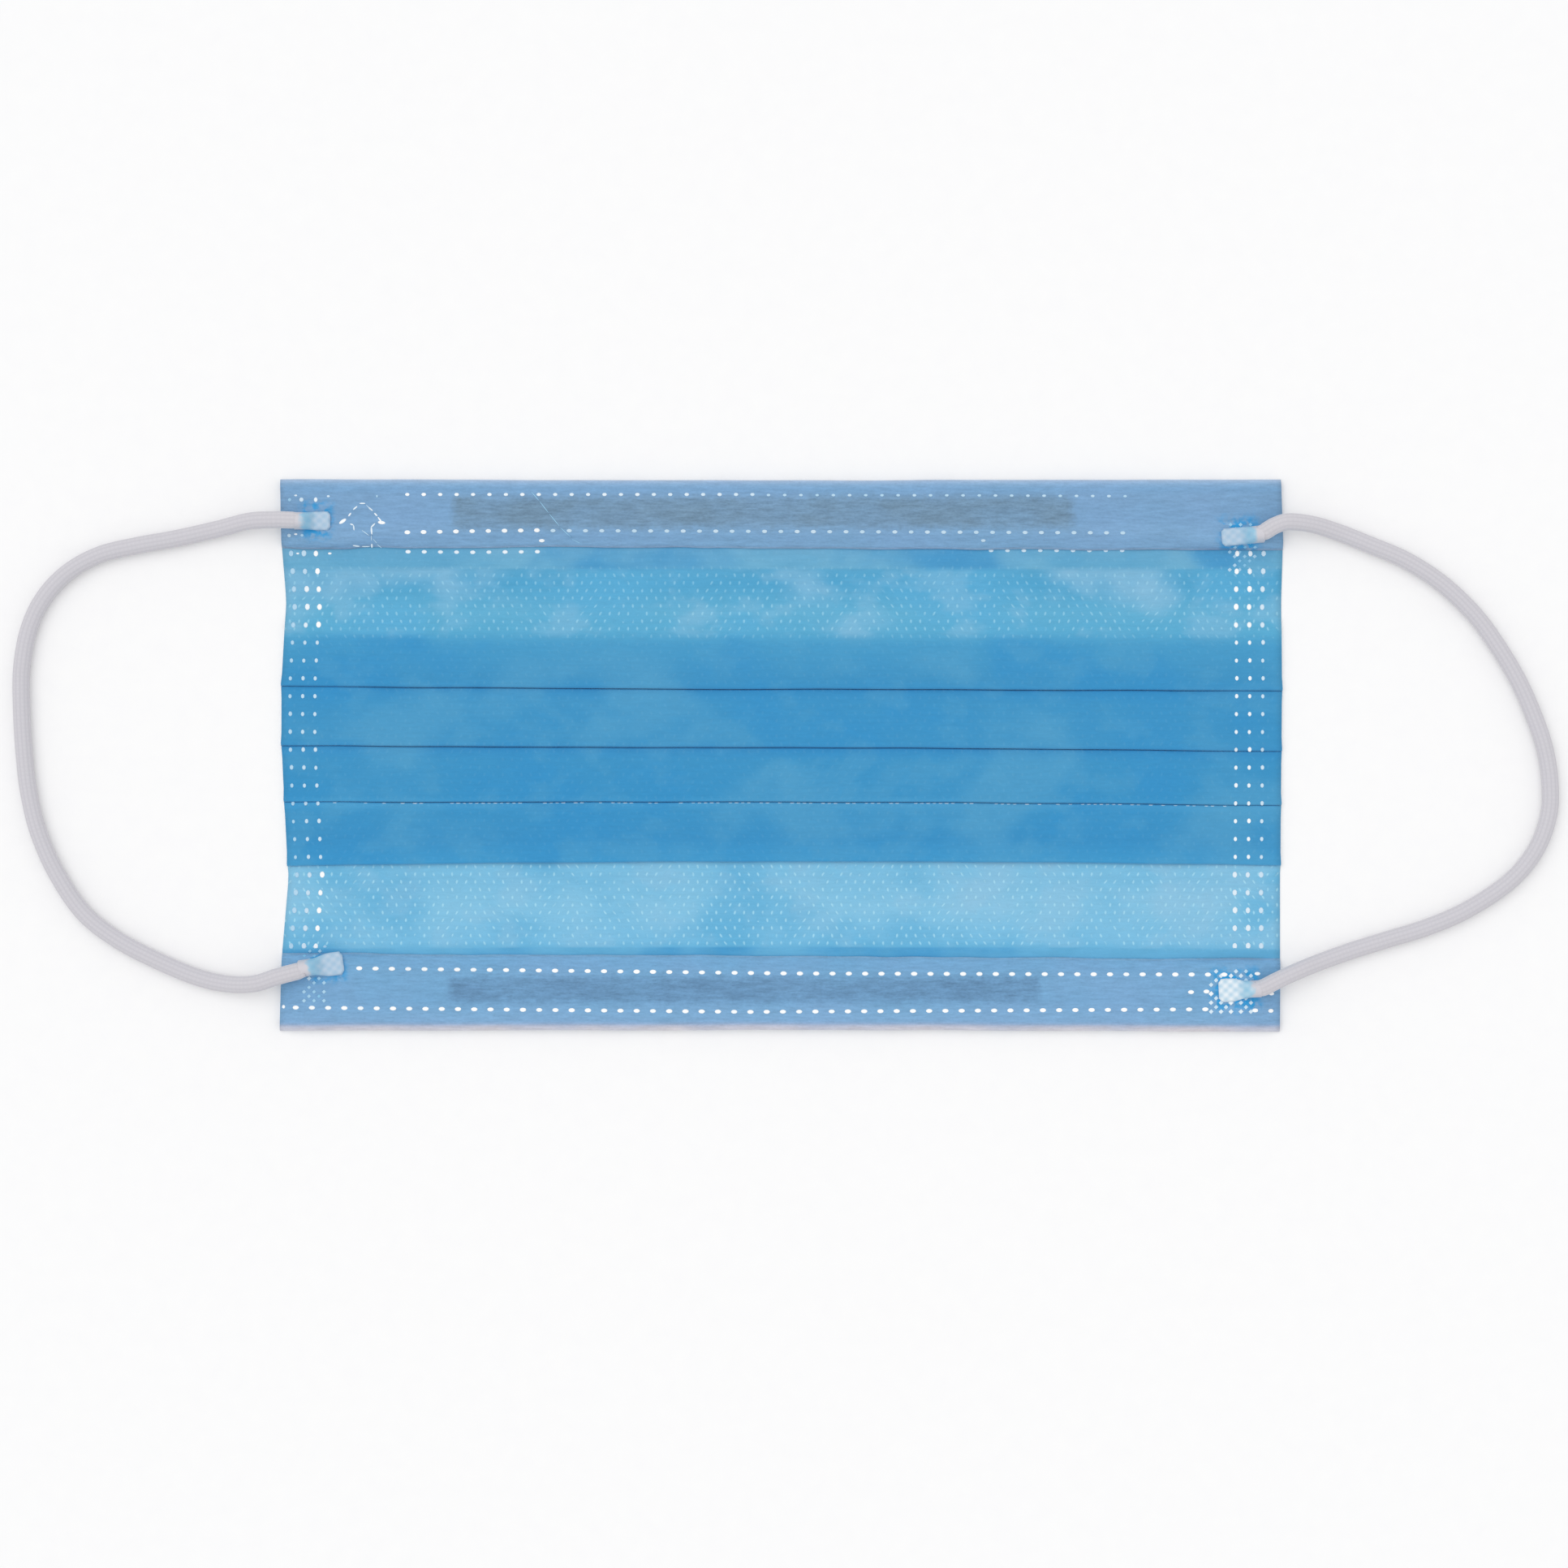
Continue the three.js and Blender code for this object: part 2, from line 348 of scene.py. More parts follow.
    def bump(self, height: object, distance: float, normal: object = None) -> Socket:
        """Adds a bump.

        Args:
            height: a socket from 0 to 1.
            distance: how high 1 stands, in metres.
            normal: a normal to build on.

        Returns:
            The bumped normal's socket.
        """
        made = self.node("Bump")
        made.inputs["Distance"].default_value = distance
        self.feed(made.inputs["Height"], height)
        if normal is not None:
            self.feed(made.inputs["Normal"], normal)
        return made.outputs[0]


def new_group(name: str, inputs: dict[str, float | tuple], output: str) -> tuple:
    """Starts a shader node group with a Vector input and others.

    Args:
        name: the group's name.
        inputs: each further input's name and default; a tuple makes a vector.
        output: the name of its one output.

    Returns:
        The graph, the node that holds its inputs and the socket to feed its output.
    """
    tree = bpy.data.node_groups.new(name, "ShaderNodeTree")
    for label, default in {"Vector": (0.0, 0.0, 0.0), **inputs}.items():
        kind = "NodeSocketVector" if isinstance(default, tuple) else "NodeSocketFloat"
        socket = tree.interface.new_socket(label, in_out="INPUT", socket_type=kind)
        socket.default_value = default
    tree.interface.new_socket(output, in_out="OUTPUT", socket_type="NodeSocketFloat")
    graph = Graph(tree)
    source = tree.nodes.new("NodeGroupInput")
    sink = tree.nodes.new("NodeGroupOutput")
    return graph, source.outputs, sink.inputs[0]


class ClothEffects:
    """The shader groups that the cloth finishes share and find by name."""

    def build(self) -> None:
        """Builds every group once."""
        for build in (self.embossed_points, self.web_clouds, self.cross_fibres, self.soft_box):
            build()

    def embossed_points(self) -> None:
        """Makes staggered slender ovals that lean either way: 1 on one, 0 off it."""
        defaults = {"Pitch X": 1.62 * MM, "Pitch Y": 1.34 * MM, "Size": 0.34, "Slant": 2.6}
        graph, given, out = new_group("embossed_points", defaults, "Points")
        x, y, _ = graph.split(given["Vector"])
        rows = graph.math("DIVIDE", y, given["Pitch Y"])
        row = graph.math("FLOOR", rows)
        across = graph.math("DIVIDE", x, given["Pitch X"])
        shifted = graph.math("MULTIPLY_ADD", row, 0.5, across)
        local_y = graph.less(graph.math("FRACT", rows), 0.5)
        local_x = graph.less(graph.math("FRACT", shifted), 0.5)
        turn = graph.less(graph.noise(given["Vector"], 130.0, 1.0), 0.5)
        lean = graph.times(graph.times(turn, given["Slant"]), local_y)
        slender = graph.times(graph.less(local_x, lean), 2.1)
        squares = [graph.times(part, part) for part in (slender, local_y)]
        radius = graph.math("SQRT", graph.math("ADD", *squares))
        edge = graph.times(given["Size"], 0.4)
        graph.feed(out, graph.remap(radius, given["Size"], edge))

    def web_clouds(self) -> None:
        """Makes thick and thin patches a centimetre or two across: 1 where the web is thin."""
        graph, given, out = new_group("web_clouds", {"Scale": 50.0}, "Clouds")
        broad = graph.noise(graph.scaled(given["Vector"], (0.75, 1.0, 0.0)), given["Scale"], 3.0)
        graph.feed(out, graph.remap(broad, 0.24, 0.76))

    def cross_fibres(self) -> None:
        """Makes fine strands and wrinkles along the mask: about 0.5, higher on a strand."""
        graph, given, out = new_group("cross_fibres", {"Scale": 1800.0}, "Fibres")
        long = graph.noise(graph.scaled(given["Vector"], (0.16, 1.0, 0.3)), given["Scale"], 3.0)
        finer = graph.times(given["Scale"], 1.7)
        short = graph.noise(graph.scaled(given["Vector"], (0.5, 1.0, 0.5)), finer, 2.0)
        strands = graph.times(long, 0.65)
        graph.feed(out, graph.math("MULTIPLY_ADD", short, 0.35, strands))

    def soft_box(self) -> None:
        """Makes a rectangle with a soft, uneven border: 1 inside it, 0 outside."""
        defaults = {"Centre": (0.0, 0.0, 0.0), "Half X": 0.01, "Half Y": 0.01, "Border": 0.0005}
        graph, given, out = new_group("soft_box", defaults, "Inside")
        offset = graph.node("VectorMath", operation="SUBTRACT")
        graph.feed(offset.inputs[0], given["Vector"])
        graph.feed(offset.inputs[1], given["Centre"])
        x, y, _ = graph.split(offset.outputs[0])
        rough = graph.noise(given["Vector"], 900.0, 2.0)
        uneven = graph.times(given["Border"], 1.6)
        wander = graph.times(graph.less(rough, 0.5), uneven)
        sides = []
        for part, half in ((x, given["Half X"]), (y, given["Half Y"])):
            inner = graph.less(half, given["Border"])
            outer = graph.math("ADD", half, given["Border"])
            distance = graph.math("ADD", graph.math("ABSOLUTE", part), wander)
            sides.append(graph.remap(distance, outer, inner))
        graph.feed(out, graph.times(*sides))


@dataclass(frozen=True)
class Finish:
    """A material: one Principled shader whose plain values are set here."""

    name: str
    roughness: float = 0.85
    sheen: float = 0.0
    metallic: float = 0.0
    specular: float = 0.35
    fibre_scale: float = 2200.0
    cloud_scale: float = 48.0
    relief: float = 0.05
    pressed_relief: float = 0.05

    def dress(self) -> Material:
        """Makes the material and wires its looks.

        Returns:
            The material.
        """
        made = bpy.data.materials.new(self.name)
        made.use_nodes = True
        graph = Graph(made.node_tree)
        shader = made.node_tree.nodes["Principled BSDF"]
        shader.inputs["Roughness"].default_value = self.roughness
        shader.inputs["Metallic"].default_value = self.metallic
        shader.inputs["Specular IOR Level"].default_value = self.specular
        shader.inputs["Sheen Weight"].default_value = self.sheen
        for name, value in self.looks(graph).items():
            graph.feed(shader.inputs[name], value)
        return made

    def looks(self, graph: Graph) -> dict[str, Socket]:
        """Wires the sockets for the shader's inputs, by name; each finish has its own."""
        return {}

    def place(self, graph: Graph) -> Socket:
        """Gives the Object coordinates of the piece."""
        return graph.node("TexCoord").outputs["Object"]


# Colour of the outer cloth by station: single ply, three plies in the pleats, single ply again. The dips at
# 1.1 and 11.6 are painted shade along the first two folds, where more plies also overlap. The lighter stops
# just under the fold at -19.0 are painted light that offsets its shadow.
PANEL_TONES = (
    (-37.0, (97, 170, 211)), (-34.2, (97, 171, 212)), (-33.4, (108, 180, 218)), (-32.6, (118, 186, 222)),
    (-27.0, (128, 191, 223)), (-21.5, (120, 186, 220)), (-19.5, (124, 193, 226)), (-19.15, (128, 198, 229)),
    (-18.9, (58, 150, 202)), (-15.0, (50, 140, 193)), (-10.0, (53, 143, 194)), (-8.7, (70, 158, 207)),
    (-8.3, (62, 154, 205)), (-7.6, (50, 142, 194)), (-1.2, (55, 144, 194)), (0.2, (52, 142, 195)),
    (1.1, (47, 137, 192)), (1.7, (56, 144, 196)), (2.6, (56, 144, 194)), (9.2, (56, 144, 194)),
    (10.7, (52, 142, 195)), (11.6, (47, 137, 191)), (12.3, (54, 143, 195)), (13.6, (57, 143, 192)),
    (19.4, (66, 152, 198)), (21.9, (86, 168, 206)), (25.0, (94, 172, 208)), (30.0, (76, 160, 202)),
    (32.4, (84, 163, 203)), (32.8, (107, 173, 207)), (36.5, (110, 170, 204)),
)
# How clearly the embossed points show, as a grey: on single plies, hardly on the pleats
POINT_CLARITY = (
    (-34.0, (40, 40, 40)), (-33.0, (232, 232, 232)), (-19.4, (232, 232, 232)), (-18.9, (60, 60, 60)),
    (20.0, (60, 60, 60)), (22.5, (196, 196, 196)), (32.0, (170, 170, 170)), (33.2, (70, 70, 70)),
)
# hem colour by station; the light stop at the free edge (35.9) is a painted highlight along the flap's edge
TOP_HEM_TONES = (
    (35.9, (150, 178, 208)), (36.15, (120, 166, 204)), (36.8, (122, 166, 203)), (38.6, (123, 166, 203)),
    (41.5, (117, 159, 197)), (45.2, (119, 160, 197)), (46.4, (116, 160, 199)), (47.2, (130, 170, 206)),
    (47.9, (166, 189, 216)), (49.0, (214, 218, 226)),
)
# hem colour by station; the light stop at the free edge (-35.9) is a painted highlight along the flap's edge,
# and the pale stops at -47.4 and -47.05 are the white web past the blue's edge, lightened further as painted
# light against the shade where the roll curves away
BOTTOM_HEM_TONES = (
    (-49.0, (216, 218, 224)), (-48.0, (216, 212, 218)), (-47.4, (204, 200, 208)), (-47.05, (152, 172, 202)),
    (-46.6, (124, 167, 205)), (-45.4, (121, 168, 206)), (-43.0, (112, 163, 203)), (-38.4, (113, 165, 204)),
    (-36.3, (112, 168, 209)), (-35.9, (132, 180, 214)),
)


@dataclass(frozen=True)
class OuterCloth(Finish):
    """Light blue spunbond, darker where three plies lie on each other."""

    name: str = "blue_spunbond"
    sheen: float = 0.12
    fine_scale: float = 150.0

    def looks(self, graph: Graph) -> dict[str, Socket]:
        """Wires the colour zones, the clouds, the points and the fibres.

        Args:
            graph: the material's graph.

        Returns:
            The sockets by the shader's input.
        """
        place = self.place(graph)
        station = graph.carried("station")
        clarity = graph.ramp(station, POINT_CLARITY)
        single = graph.remap(clarity, 0.05, 0.4)
        clouds = graph.group("web_clouds", Vector=place, Scale=self.cloud_scale)
        fine_clouds = graph.group("web_clouds", Vector=place, Scale=self.fine_scale)
        fibres = graph.group("cross_fibres", Vector=place, Scale=self.fibre_scale)
        points = graph.group("embossed_points", Vector=place)
        # the station ramp carries painted shade along the first two folds and painted light just under the
        # fourth
        colour = graph.ramp(station, PANEL_TONES)
        thin_tone = graph.mix(single, (82, 158, 199), (145, 193, 221))
        thick_tone = graph.mix(single, (46, 141, 197), (88, 170, 212))
        thin = graph.times(graph.remap(clouds, 0.5, 0.95), 0.55)
        thick = graph.times(graph.remap(clouds, 0.55, 0.05), 0.75)
        colour = graph.mix(thin, colour, thin_tone)
        colour = graph.mix(thick, colour, thick_tone)
        mottled = graph.times(graph.remap(fine_clouds, 0.45, 0.9), 0.3)
        colour = graph.mix(mottled, colour, thin_tone)
        uneven = graph.remap(graph.noise(place, 700.0, 2.0), 0.34, 0.54)
        shown = graph.times(graph.times(points, clarity), uneven)
        colour = graph.mix(graph.times(shown, 0.85), colour, (168, 222, 242))
        colour = graph.shaded(colour, graph.math("MULTIPLY_ADD", fibres, 0.24, 0.88))
        sunk = graph.times(graph.times(points, clarity), -1.0)
        pressed = graph.bump(sunk, self.pressed_relief * MM)
        return {"Base Color": colour, "Normal": graph.bump(fibres, self.relief * MM, pressed)}


@dataclass(frozen=True)
class Lining(Finish):
    """White inner spunbond, seen on the back of the mask and at the cut edges."""

    name: str = "white_lining"
    sheen: float = 0.15
    cloud_scale: float = 60.0
    relief: float = 0.08

    def looks(self, graph: Graph) -> dict[str, Socket]:
        """Wires a white web with faint clouds and the same points.

        Args:
            graph: the material's graph.

        Returns:
            The sockets by the shader's input.
        """
        place = self.place(graph)
        clouds = graph.group("web_clouds", Vector=place, Scale=self.cloud_scale)
        fibres = graph.group("cross_fibres", Vector=place, Scale=self.fibre_scale)
        points = graph.group("embossed_points", Vector=place)
        colour = graph.mix(clouds, (222, 230, 238), (236, 240, 244))
        colour = graph.mix(graph.times(points, 0.4), colour, (200, 212, 224))
        colour = graph.mix(graph.times(fibres, 0.25), colour, (198, 208, 220))
        sunk = graph.times(points, -1.0)
        pressed = graph.bump(sunk, self.pressed_relief * MM)
        return {"Base Color": colour, "Normal": graph.bump(fibres, self.relief * MM, pressed)}


@dataclass(frozen=True)
class HemCloth(Finish):
    """Thin white web over blue, lavender where it is backed, with the strip showing through."""

    name: str = "top_hem_web"
    sheen: float = 0.12
    cloud_scale: float = 85.0
    fibre_scale: float = 2300.0
    relief: float = 0.12
    strip_reach: tuple[float, float] = (-1.4, 0.2)
    strip_border: float = 1.1
    fused_border: float = 1.3
    tones: tuple = TOP_HEM_TONES
    strip_node: str = "nose_strip"
    strip_tone: tuple[int, int, int] = (111, 142, 168)
    fused: tuple[tuple[str, float, float], ...] = ()

    def looks(self, graph: Graph) -> dict[str, Socket]:
        """Wires the tone by station, the grey strip, the fused corners and the wrinkles.

        Args:
            graph: the material's graph.

        Returns:
            The sockets by the shader's input.
        """
        place = self.place(graph)
        fibres = graph.group("cross_fibres", Vector=place, Scale=self.fibre_scale)
        clouds = graph.group("web_clouds", Vector=place, Scale=self.cloud_scale)
        # the tones by station carry a painted highlight along the free edge, and on the bottom hem painted
        # light over the roll
        colour = graph.ramp(graph.carried("station"), self.tones)
        colour = graph.mix(graph.times(clouds, 0.34), colour, (132, 168, 210))
        strip = self.inside(graph, place, self.strip_node, self.strip_reach, self.strip_border)
        worn = graph.noise(graph.scaled(place, (0.4, 1.0, 1.0)), 260.0, 3.0)
        patchy = graph.remap(worn, 0.3, 0.7, (1.0, 0.62))
        colour = graph.mix(graph.times(strip, patchy), colour, self.strip_tone)
        streaks = graph.math("MULTIPLY_ADD", strip, 0.5, 0.66)
        for node, reach_x, reach_y in self.fused:
            fused = self.inside(graph, place, node, (reach_x, reach_y), self.fused_border)
            uneven = graph.remap(graph.noise(place, 760.0, 3.0), 0.4, 0.56, (0.0, 0.95))
            colour = graph.mix(graph.times(fused, uneven), colour, (36, 150, 210))
        centred = graph.less(fibres, 0.5)
        colour = graph.shaded(colour, graph.math("ADD", graph.times(centred, streaks), 1.0))
        return {"Base Color": colour, "Normal": graph.bump(fibres, self.relief * MM)}

    def inside(self, graph: Graph, place: Socket, node: str, reach: tuple, border: float) -> Socket:
        """Masks the cloth over a CAD node.

        Args:
            graph: the material's graph.
            place: the Object coordinates.
            node: the CAD node under or on the cloth.
            reach: how far past the node the mask goes along X and Y, in millimetres.
            border: the softness of the border, in millimetres.

        Returns:
            The mask's socket.
        """
        low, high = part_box(node)
        half = (high - low) / 2
        sizes = {"Half X": half.x + reach[0] * MM, "Half Y": half.y + reach[1] * MM, "Border": border * MM}
        return graph.group("soft_box", Vector=place, Centre=tuple((low + high) / 2), **sizes)


@dataclass(frozen=True)
class FusedFilm(Finish):
    """Cloth melted through under a weld point: clear, pale and a little glossy."""

    name: str = "fused_film"
    roughness: float = 0.38
    relief: float = 0.02

    def looks(self, graph: Graph) -> dict[str, Socket]:
        """Wires the colour from how far each dot was melted through.

        Args:
            graph: the material's graph.

        Returns:
            The sockets by the shader's input.
        """
        melted = graph.carried("melted")
        speck = graph.noise(self.place(graph), 2600.0, 2.0)
        colour = graph.mix(melted, (112, 186, 224), (254, 255, 255))
        colour = graph.mix(graph.times(speck, 0.1), colour, (178, 212, 236))
        return {"Base Color": colour, "Normal": graph.bump(speck, self.relief * MM)}


@dataclass(frozen=True)
class KnitElastic(Finish):
    """Soft off-white knitted elastic, matt, with a nap."""

    name: str = "knit_elastic"
    roughness: float = 0.92
    sheen: float = 0.25
    relief: float = 0.06

    def looks(self, graph: Graph) -> dict[str, Socket]:
        """Wires painted shade in the grooves between the wales, and a fine nap.

        Args:
            graph: the material's graph.

        Returns:
            The sockets by the shader's input.
        """
        raised = graph.carried("raised")
        place = self.place(graph)
        nap = graph.noise(place, 5200.0, 3.0)
        broad = graph.noise(place, 160.0, 2.0)
        # darker in the grooves between the wales and lighter on the raised stitches: painted shade
        colour = graph.mix(raised, (199, 197, 203), (212, 210, 215))
        colour = graph.mix(graph.times(nap, 0.2), colour, (184, 182, 191))
        colour = graph.mix(graph.times(broad, 0.2), colour, (206, 203, 214))
        return {"Base Color": colour, "Normal": graph.bump(nap, self.relief * MM)}


@dataclass(frozen=True)
class PressedElastic(Finish):
    """Elastic pressed flat and fused: milky, bluish and slightly glossy."""

    name: str = "pressed_elastic"
    roughness: float = 0.5
    relief: float = 0.04
    ground: tuple[int, int, int] = (158, 190, 216)
    crest: tuple[int, int, int] = (184, 203, 222)

    def looks(self, graph: Graph) -> dict[str, Socket]:
        """Wires the knit's grey, a cyan melt line and the milky pressed end.

        Args:
            graph: the material's graph.

        Returns:
            The sockets by the shader's input.
        """
        raised = graph.carried("raised")
        run = graph.carried("run")
        place = self.place(graph)
        milky = graph.noise(place, 700.0, 3.0)
        colour = graph.mix(raised, self.ground, self.crest)
        colour = graph.mix(graph.times(milky, 0.35), colour, (182, 208, 226))
        ragged = graph.math("MULTIPLY_ADD", graph.less(milky, 0.5), 0.35, run)
        melt = graph.times(graph.remap(ragged, 0.62, 0.36), 0.6)
        colour = graph.mix(melt, colour, (132, 196, 224))
        colour = graph.mix(graph.remap(ragged, 0.30, 0.16), colour, (206, 204, 211))
        return {"Base Color": colour, "Normal": graph.bump(milky, self.relief * MM)}


@dataclass(frozen=True)
class RolledStrip(Finish):
    """Soft rolled aluminium, with marks along its length."""

    name: str = "rolled_strip"
    roughness: float = 0.36
    metallic: float = 1.0
    specular: float = 0.5
    fibre_scale: float = 2400.0
    relief: float = 0.02

    def looks(self, graph: Graph) -> dict[str, Socket]:
        """Wires fine rolling marks.

        Args:
            graph: the material's graph.

        Returns:
            The sockets by the shader's input.
        """
        marks = graph.group("cross_fibres", Vector=self.place(graph), Scale=self.fibre_scale)
        colour = graph.mix(marks, (176, 182, 188), (206, 210, 214))
        return {
            "Base Color": colour,
            "Roughness": graph.remap(marks, 0.3, 0.7, (0.30, 0.46)),
            "Normal": graph.bump(marks, self.relief * MM),
        }


@dataclass(frozen=True)
class PaleFloor(Finish):
    """Plain pale studio paper."""

    name: str = "pale_floor"
    roughness: float = 0.95
    specular: float = 0.05

    def looks(self, graph: Graph) -> dict[str, Socket]:
        """Wires a barely uneven white.

        Args:
            graph: the material's graph.

        Returns:
            The sockets by the shader's input.
        """
        tooth = graph.noise(self.place(graph), 300.0, 2.0)
        colour = graph.mix(tooth, (247, 247, 248), (250, 250, 250))
        return {"Base Color": colour}


def finished(
    bm: BMesh,
    name: str,
    materials: list[Material],
    closed: bool = True,
) -> Piece:
    """Turns a bmesh into a smooth piece of the scene at the origin.

    Args:
        bm: the mesh, which is freed.
        name: the piece's name.
        materials: its material slots.
        closed: whether its faces are turned outwards.

    Returns:
        The new object.
    """
    if closed:
        bm.normal_update()
        bmesh.ops.recalc_face_normals(bm, faces=bm.faces)
    mesh = bpy.data.meshes.new(name)
    bm.to_mesh(mesh)
    bm.free()
    for material in materials:
        mesh.materials.append(material)
    mesh.shade_smooth()
    piece = bpy.data.objects.new(name, mesh)
    bpy.context.scene.collection.objects.link(piece)
    return piece


def attached(piece: Piece, slot: str, *nodes: str) -> Piece:
    """Lets a piece ride on the mask and stand for its CAD nodes.

    Args:
        piece: the finished piece.
        slot: not used.
        *nodes: the CAD nodes that it replaces.

    Returns:
        The same piece.
    """
    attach(piece, BODY)
    if nodes:
        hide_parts(*nodes)
    faces = len(piece.data.polygons)
    LOG.info("%s: %d faces, stands for %s", piece.name, faces, ", ".join(nodes) or "no node")
    return piece


def thickened(piece: Piece, thickness: float) -> bpy.types.Modifier:
    """Gives a sheet its thickness, half to each side.

    Args:
        piece: the sheet.
        thickness: the thickness in millimetres.

    Returns:
        The modifier, for further settings.
    """
    made = piece.modifiers.new("thickness", "SOLIDIFY")
    made.thickness = thickness * MM
    made.offset = 0.0
    return made


def face_up(bm: BMesh) -> None:
    """Turns an open sheet so that its highest face looks up.

    Args:
        bm: the sheet's mesh.
    """
    bm.normal_update()
    bmesh.ops.recalc_face_normals(bm, faces=bm.faces)
    bm.normal_update()
    top = max(bm.faces, key=lambda face: face.calc_center_median().z)
    if top.normal.z < 0:
        bmesh.ops.reverse_faces(bm, faces=bm.faces)


class ProfilePen:
    """Draws a cloth's section, in millimetres, as the edges that one moving vertex leaves."""

    def __init__(self, bm: BMesh, x: float, y: float, z: float) -> None:
        """Sets the pen down; x is in metres."""
        self.bm = bm
        self.tip = bm.verts.new((x, y * MM, z * MM))
        self.x = x

    def run(self, y: float, z: float, step: float) -> None:
        """Draws a straight stretch.

        Args:
            y: where it ends across the mask.
            z: where it ends in height.
            step: about how long each of its edges is.
        """
        way = Vector((self.x, y * MM, z * MM)) - self.tip.co
        count = max(1, round(way.length / (step * MM)))
        for _ in range(count):
            made = bmesh.ops.extrude_vert_indiv(self.bm, verts=[self.tip])
            self.tip = made["verts"][0]
            bmesh.ops.translate(self.bm, verts=[self.tip], vec=way / count)

    def turn(self, y: float, z: float, angle: float, steps: int) -> None:
        """Draws an arc about a centre.

        Args:
            y: the centre's place across the mask.
            z: the centre's height.
            angle: how far it turns about +X, in radians.
            steps: how many edges it has.
        """
        centre = Vector((self.x, y * MM, z * MM))
        made = bmesh.ops.spin(self.bm, geom=[self.tip], cent=centre, axis=(1, 0, 0), angle=angle, steps=steps)
        self.tip = next(item for item in made["geom_last"] if isinstance(item, BMVert))

    def sweep(self, width: float, columns: int) -> None:
        """Carries the section across the mask, towards +X.

        Args:
            width: how far it goes.
            columns: in how many steps.
        """
        section = [*self.bm.verts, *self.bm.edges]
        step = Vector((width / columns, 0, 0))
        still = {"cent": (0, 0, 0), "axis": (1, 0, 0), "angle": 0}
        bmesh.ops.spin(self.bm, geom=section, dvec=step, steps=columns, **still)
        bmesh.ops.remove_doubles(self.bm, verts=self.bm.verts, dist=1e-7)


@dataclass
class MaskShape:
    """The mask's plan and how its flat section is bent, pinched and puffed, in millimetres."""

    half_width: float = 87.5
    half_height: float = 48.1
    side_y: tuple = (-48.1, -34.0, -21.0, -8.4, 2.0, 12.0, 27.0, 37.0, 48.1)
    left_x: tuple = (87.6, 87.2, 86.1, 86.8, 87.3, 87.3, 86.5, 87.3, 87.5)
    right_x: tuple = (87.1, 87.2, 87.2, 87.3, 87.4, 87.5, 87.4, 87.7, 87.3)
    fold_y: tuple = (-48.1, -19.0, -8.4, 1.3, 11.8, 30.0, 48.1)
    left_shift: tuple = (0.0, -0.35, 0.25, 0.45, 0.35, 0.0, 0.15)
    right_shift: tuple = (-0.15, -0.25, -0.3, -0.6, -0.55, 0.0, 0.1)
    middle_shift: tuple = (0.1, 0.45, 0.3, 0.1, -0.2, 0.0, -0.05)
    pleat_y: tuple = (11.8, 1.3, -8.4, -19.0)
    spike: float = 0.12
    spike_reach: float = 1.6
    puff: float = 0.22
    tremor: float = 0.10
    flat_side: tuple[float, float] = (14.0, 6.0)

    def edge_at(self, y: float, side: Side) -> float:
        """Gives the plain side edge's distance from the middle line, in millimetres."""
        return float(np.interp(y, self.side_y, self.left_x if side is Side.LEFT else self.right_x))

    def half_at(self, y: float, side: Side) -> float:
        """Gives the distance from the middle line to a side edge, with the spike at each fold.

        Args:
            y: the station, in millimetres.
            side: the side asked for.

        Returns:
            The distance in millimetres.
        """
        reach = self.edge_at(y, side)
        for edge in self.pleat_y:
            reach += self.spike * max(0.0, 1 - abs(y - edge - 0.4) / self.spike_reach)
        return reach

    def shift_at(self, x: float, y: float) -> float:
        """Gives how far the folds wander from their station.

        Args:
            x: the place along the mask, in millimetres.
            y: the station, in millimetres.

        Returns:
            The shift along Y in millimetres.
        """
        shifts = (self.left_shift, self.middle_shift, self.right_shift)
        left, middle, right = (float(np.interp(y, self.fold_y, shift)) for shift in shifts)
        share = x / self.half_width
        bow = middle * (1 - share * share)
        slope = left * max(-share, 0.0) ** 1.5 + right * max(share, 0.0) ** 1.5
        tremor = self.tremor * noise.noise(Vector((x / 14, y / 9, 3.7)))
        return bow + slope + tremor

    def puff_at(self, x: float, y: float) -> float:
        """Gives how high the whole cloth stands off the surface, nothing at the side seams."""
        free = 1 - smooth(abs(x), *(self.half_width - inset for inset in self.flat_side))
        swell = 0.5 + 0.5 * noise.noise(Vector((x / 26, y / 11, 1.3)))
        return self.puff * swell * free

    def place(self, flat: Vector, height: float) -> Vector:
        """Puts a point of the flat section where it lies on the mask.

        Args:
            flat: the point of the swept section, in metres.
            height: its height above the surface, in metres.

        Returns:
            The point in metres.
        """
        x, y = flat.x / MM, flat.y / MM
        side = Side.LEFT if x < 0 else Side.RIGHT
        along = x / self.half_width * self.half_at(y, side)
        across = y + self.shift_at(x, y)
        return Vector((along * MM, across * MM, height + self.puff_at(x, y) * MM))


